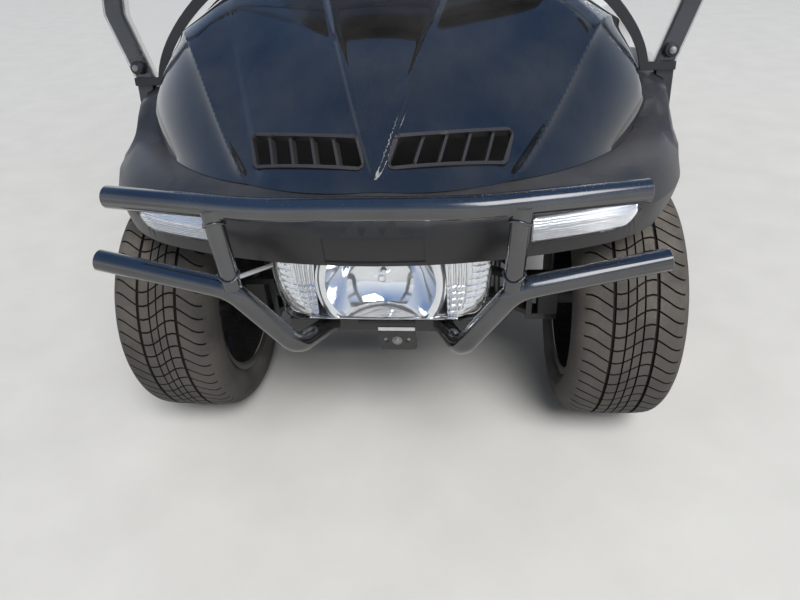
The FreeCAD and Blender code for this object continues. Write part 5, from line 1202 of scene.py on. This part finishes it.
def weld_bead(place, direction):
    """A rippled bead where an upright ends on the side of a guard tube."""
    deselect()
    bpy.ops.mesh.primitive_torus_add(major_segments=72, minor_segments=8,
                                     major_radius=UPRIGHT_RADIUS + 0.0006, minor_radius=0.0026)
    bead = bpy.context.active_object
    for vertex in bead.data.vertices:
        turn = math.atan2(vertex.co.y, vertex.co.x)
        off = UPRIGHT_RADIUS * math.sin(turn)
        vertex.co.z -= GUARD_RADIUS - math.sqrt(GUARD_RADIUS ** 2 - off ** 2)
        ripple = 1 + 0.012 * math.sin(turn * 18)
        vertex.co.x *= ripple
        vertex.co.y *= ripple
    bead.rotation_euler = facing(direction)
    bead.location = place
    settle(bead)
    return smoothed(bead, 60)


def add_guard_details():
    """Domed caps on the tubes' ends and beads where the uprights meet them."""
    parts = []
    for place, way in GUARD_ENDS:
        way = Vector(way).normalized()
        seat = Vector(place) - way * 0.0012
        parts.append(add_dome(seat, way, GUARD_RADIUS - 0.0005, 0.0062, 40))
    foot = Vector((0.234, GUARD_FRONT + 0.008, 0.584))
    head = Vector((0.240, GUARD_FRONT + 0.006, 0.731))
    up = (head - foot).normalized()
    parts.append(weld_bead(head - up * 0.0185, up))
    parts.append(weld_bead(foot + up * 0.0200, -up))
    left = joined(*parts)
    both = smoothed(joined(left, mirrored(left)), 50)
    give(both, "guard_caps_and_welds", "chassis", "black_steel", look="dark_chrome")


# across and height of the hole in the bracket's middle
BRACKET_BOLT = (0.020, 0.351)


def add_nose_fittings():
    """What hangs at the frame's nose: the bracket's bolt and screws, a strip, a grommet and a strut."""
    face = FRONT_AXLE - 0.277
    x, z = BRACKET_BOLT
    bolt = add_dome((x, face - 0.0002, z), (0, -1, 0), 0.0085, 0.006, 32)
    collar = add_rod((x, face + 0.004, z), (x, face - 0.0012, z), 0.0105, 32, 0.0006)
    give(smoothed(joined(bolt, collar)), "bracket_bolt", "chassis", "spring_steel", look="zinc_bolt")
    screws = [add_screw((x + way * 0.024, face, z + 0.003), (0, -1, 0), 0.0040) for way in (-1, 1)]
    give(smoothed(joined(*screws)), "bracket_screws", "chassis", "spring_steel", look="zinc_bolt")
    strip = add_block((-0.018, face - 0.0022, 0.3775), (0.058, face - 0.0001, 0.3862), 0.0005)
    give(strip, "nose_bar_strip", "chassis", "spring_steel", look="bare_aluminium")
    slot = add_block((-0.058, face - 0.0016, 0.3945), (0.060, face - 0.0001, 0.4025), 0.0035)
    give(smoothed(slot), "nose_bar_grommet", "chassis", "black_rubber")
    strut = add_rod((-0.2463, -1.205, 0.5727), (-0.2019, -1.135, 0.558), 0.0042, 20, 0.0008)
    give(smoothed(strut), "lamp_strut", "chassis", "spring_steel", look="bare_aluminium")


# Windscreen

SCREEN_LEAN = 12


def add_screen_bolts():
    """A bright bolt in each knob."""
    lean = math.radians(SCREEN_LEAN)
    out = Vector((0, -math.cos(lean), math.sin(lean)))
    tree = face_tree(nodes["screen_knobs"].data)
    bolts = []
    for centre in knob_centres():
        hit = tree.ray_cast(centre + out * 0.1, -out)[0]
        if hit is not None:
            bolts.append(add_hex_bolt(hit, out, 0.010))
    give(smoothed(joined(*bolts)), "knob_bolts", "chassis", "spring_steel", look="zinc_bolt")


def knob_centres():
    """The middles of the knobs' separate bodies, found on a copy that is then removed."""
    probe = bpy.data.objects.new("probe", nodes["screen_knobs"].data.copy())
    bpy.context.scene.collection.objects.link(probe)
    with editing(probe):
        bpy.ops.mesh.remove_doubles(threshold=CAD_MERGE)
        bpy.ops.mesh.separate(type="LOOSE")
    centres = []
    for part in list(bpy.context.selected_objects):
        corners = [Vector(corner) for corner in part.bound_box]
        centres.append(sum(corners, Vector()) / 8)
        bpy.data.objects.remove(part)
    return centres


# Wheels

NUT_CIRCLE, NUT_HEIGHT = 0.029, 0.012
VALVE_CIRCLE = 0.170


def add_wheel_fittings():
    """Four nuts with domed ends on each hub, and the tyre's valve."""
    for name, side, axle_y in WHEELS:
        outboard = Vector((side, 0, 0))
        tree = face_tree(nodes["rim_" + name].data)
        parts = []
        for number in range(4):
            turn = math.radians(45 + number * 90)
            y, z = axle_y + NUT_CIRCLE * math.cos(turn), TYRE_RADIUS + NUT_CIRCLE * math.sin(turn)
            hit = tree.ray_cast(Vector((side * 0.9, y, z)), -outboard)[0]
            if hit is not None:
                top = hit + outboard * NUT_HEIGHT
                parts.append(add_rod(hit, top, 0.0105, 6, 0.0008))
                parts.append(add_dome(top, outboard, 0.0092, 0.006, 20))
        if parts:
            nuts = smoothed(joined(*parts))
            give(nuts, "wheel_nuts_" + name, "wheel_" + name, "spring_steel", look="zinc_bolt")
        turn = math.radians(20)
        y, z = axle_y + VALVE_CIRCLE * math.cos(turn), TYRE_RADIUS + VALVE_CIRCLE * math.sin(turn)
        start = Vector((side * (WHEEL_CENTRE_X + 0.060), y, z))
        stem = add_rod(start, start + outboard * 0.024, 0.0045, 16, 0.0006)
        cap = add_rod(start + outboard * 0.022, start + outboard * 0.034, 0.0055, 12, 0.001)
        give(smoothed(joined(stem, cap)), "tyre_valve_" + name, "wheel_" + name, "black_rubber")


# Inside and behind

FLOOR_RIBS, RIB_PITCH, FIRST_RIB = 13, 0.024, -0.330
RIB_CENTRE, RIB_HALF = 0.25, 0.17


def add_floor_ribs():
    """Raised ribs of the floor mat, between the toe board and the seat."""
    tree = face_tree(nodes["floor"].data)
    ribs = []
    for number in range(FLOOR_RIBS):
        place = FIRST_RIB + number * RIB_PITCH
        for side in (1, -1):
            hit = tree.ray_cast(Vector((side * RIB_CENTRE, place, 0.65)), Vector((0, 0, -1)))[0]
            if hit is None:
                continue
            low = Vector((side * RIB_CENTRE - RIB_HALF, place - 0.004, hit.z - 0.0005))
            ribs.append(add_block(low, low + Vector((RIB_HALF * 2, 0.008, 0.0025)), 0.0008))
    give(smoothed(joined(*ribs)), "floor_mat_ribs", "chassis", "floor_mat")


def add_tail_lamp_rims():
    """A black rim round each tail lamp's lens."""
    low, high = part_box("tail_lamps")
    tree = face_tree(nodes["tail_lamps"].data)
    forward = Vector((0, -1, 0))
    sides = []
    for side in (1, -1):
        spots = []
        for number in range(200):
            x = side * (0.25 + 0.38 * number / 200)
            hit = tree.ray_cast(Vector((x, 2.0, (low.z + high.z) / 2)), forward)[0]
            if hit is not None:
                spots.append(hit)
        if len(spots) < 3:
            continue
        inner, outer = spots[0], spots[-1]
        centre = (inner + outer) / 2
        half_x, half_z = abs(outer.x - inner.x) / 2, (high.z - low.z) / 2
        line = []
        for across, along in rounded_path(half_x - 0.002, half_z - 0.002, 0.008, 0.006):
            x, z = centre.x + across, centre.z + along
            line.append(tree.ray_cast(Vector((x, 2.0, z)), forward)[0] or Vector((x, centre.y, z)))
        sides.append(tube_along(line, 0.0030, 10, True, (0, 1, 0)))
    give(joined(*sides), "tail_lamp_rims", "chassis", "black_rubber")


def add_dash_switch():
    """Key switch and direction knob on the dash, beside the column."""
    tree = face_tree(nodes["dashboard"].data)
    parts = []
    for x, z, radius in ((0.105, 0.800, 0.014), (0.060, 0.800, 0.010)):
        hit, normal = tree.ray_cast(Vector((x, 0.0, z)), Vector((0, -1, 0)))[:2]
        if hit is None:
            continue
        parts.append(add_rod(hit, hit + normal * 0.004, radius, 32, 0.001))
        parts.append(add_rod(hit + normal * 0.004, hit + normal * 0.010, radius * 0.62, 24, 0.001))
        parts.append(add_block(hit + normal * 0.010 - Vector((0.002, 0, radius * 0.5)),
                               hit + normal * 0.022 + Vector((0.002, 0.004, radius * 0.5)), 0.0008))
    if parts:
        give(smoothed(joined(*parts)), "dash_switches", "chassis", "spring_steel", look="zinc_bolt")


ROOF_SCREWS = ((0.50, -0.45), (-0.50, -0.45), (0.50, 0.78), (-0.50, 0.78), (0.30, 0.78), (-0.30, 0.78))


def add_roof_screws():
    """Low caps over the screws that hold the roof to its posts."""
    tree = face_tree(nodes["roof"].data)
    caps = []
    for x, y in ROOF_SCREWS:
        hit = tree.ray_cast(Vector((x, y, 2.5)), Vector((0, 0, -1)))[0]
        if hit is not None:
            caps.append(add_dome(hit - Vector((0, 0, 0.0008)), (0, 0, 1), 0.014, 0.005, 24))
    give(smoothed(joined(*caps)), "roof_screw_caps", "chassis", "roof_plastic")


add_camera()
add_studio()
dress_nodes()
add_tyres()
add_softened()
add_cowl()
add_cushions()
add_headlamp()
add_side_lamps()
add_guard_details()
add_nose_fittings()
add_screen_bolts()
add_wheel_fittings()
add_floor_ribs()
add_tail_lamp_rims()
add_dash_switch()
add_roof_screws()

deselect()
bpy.ops.mesh.primitive_plane_add(size=60.0, location=(0, 0, 0))
floor = bpy.context.active_object
floor.name = "studio_floor"
pale = finish("pale_floor", (0.52, 0.52, 0.51), 0.8, grain=40.0, tint=(0.56, 0.56, 0.55))
floor.data.materials.append(pale)
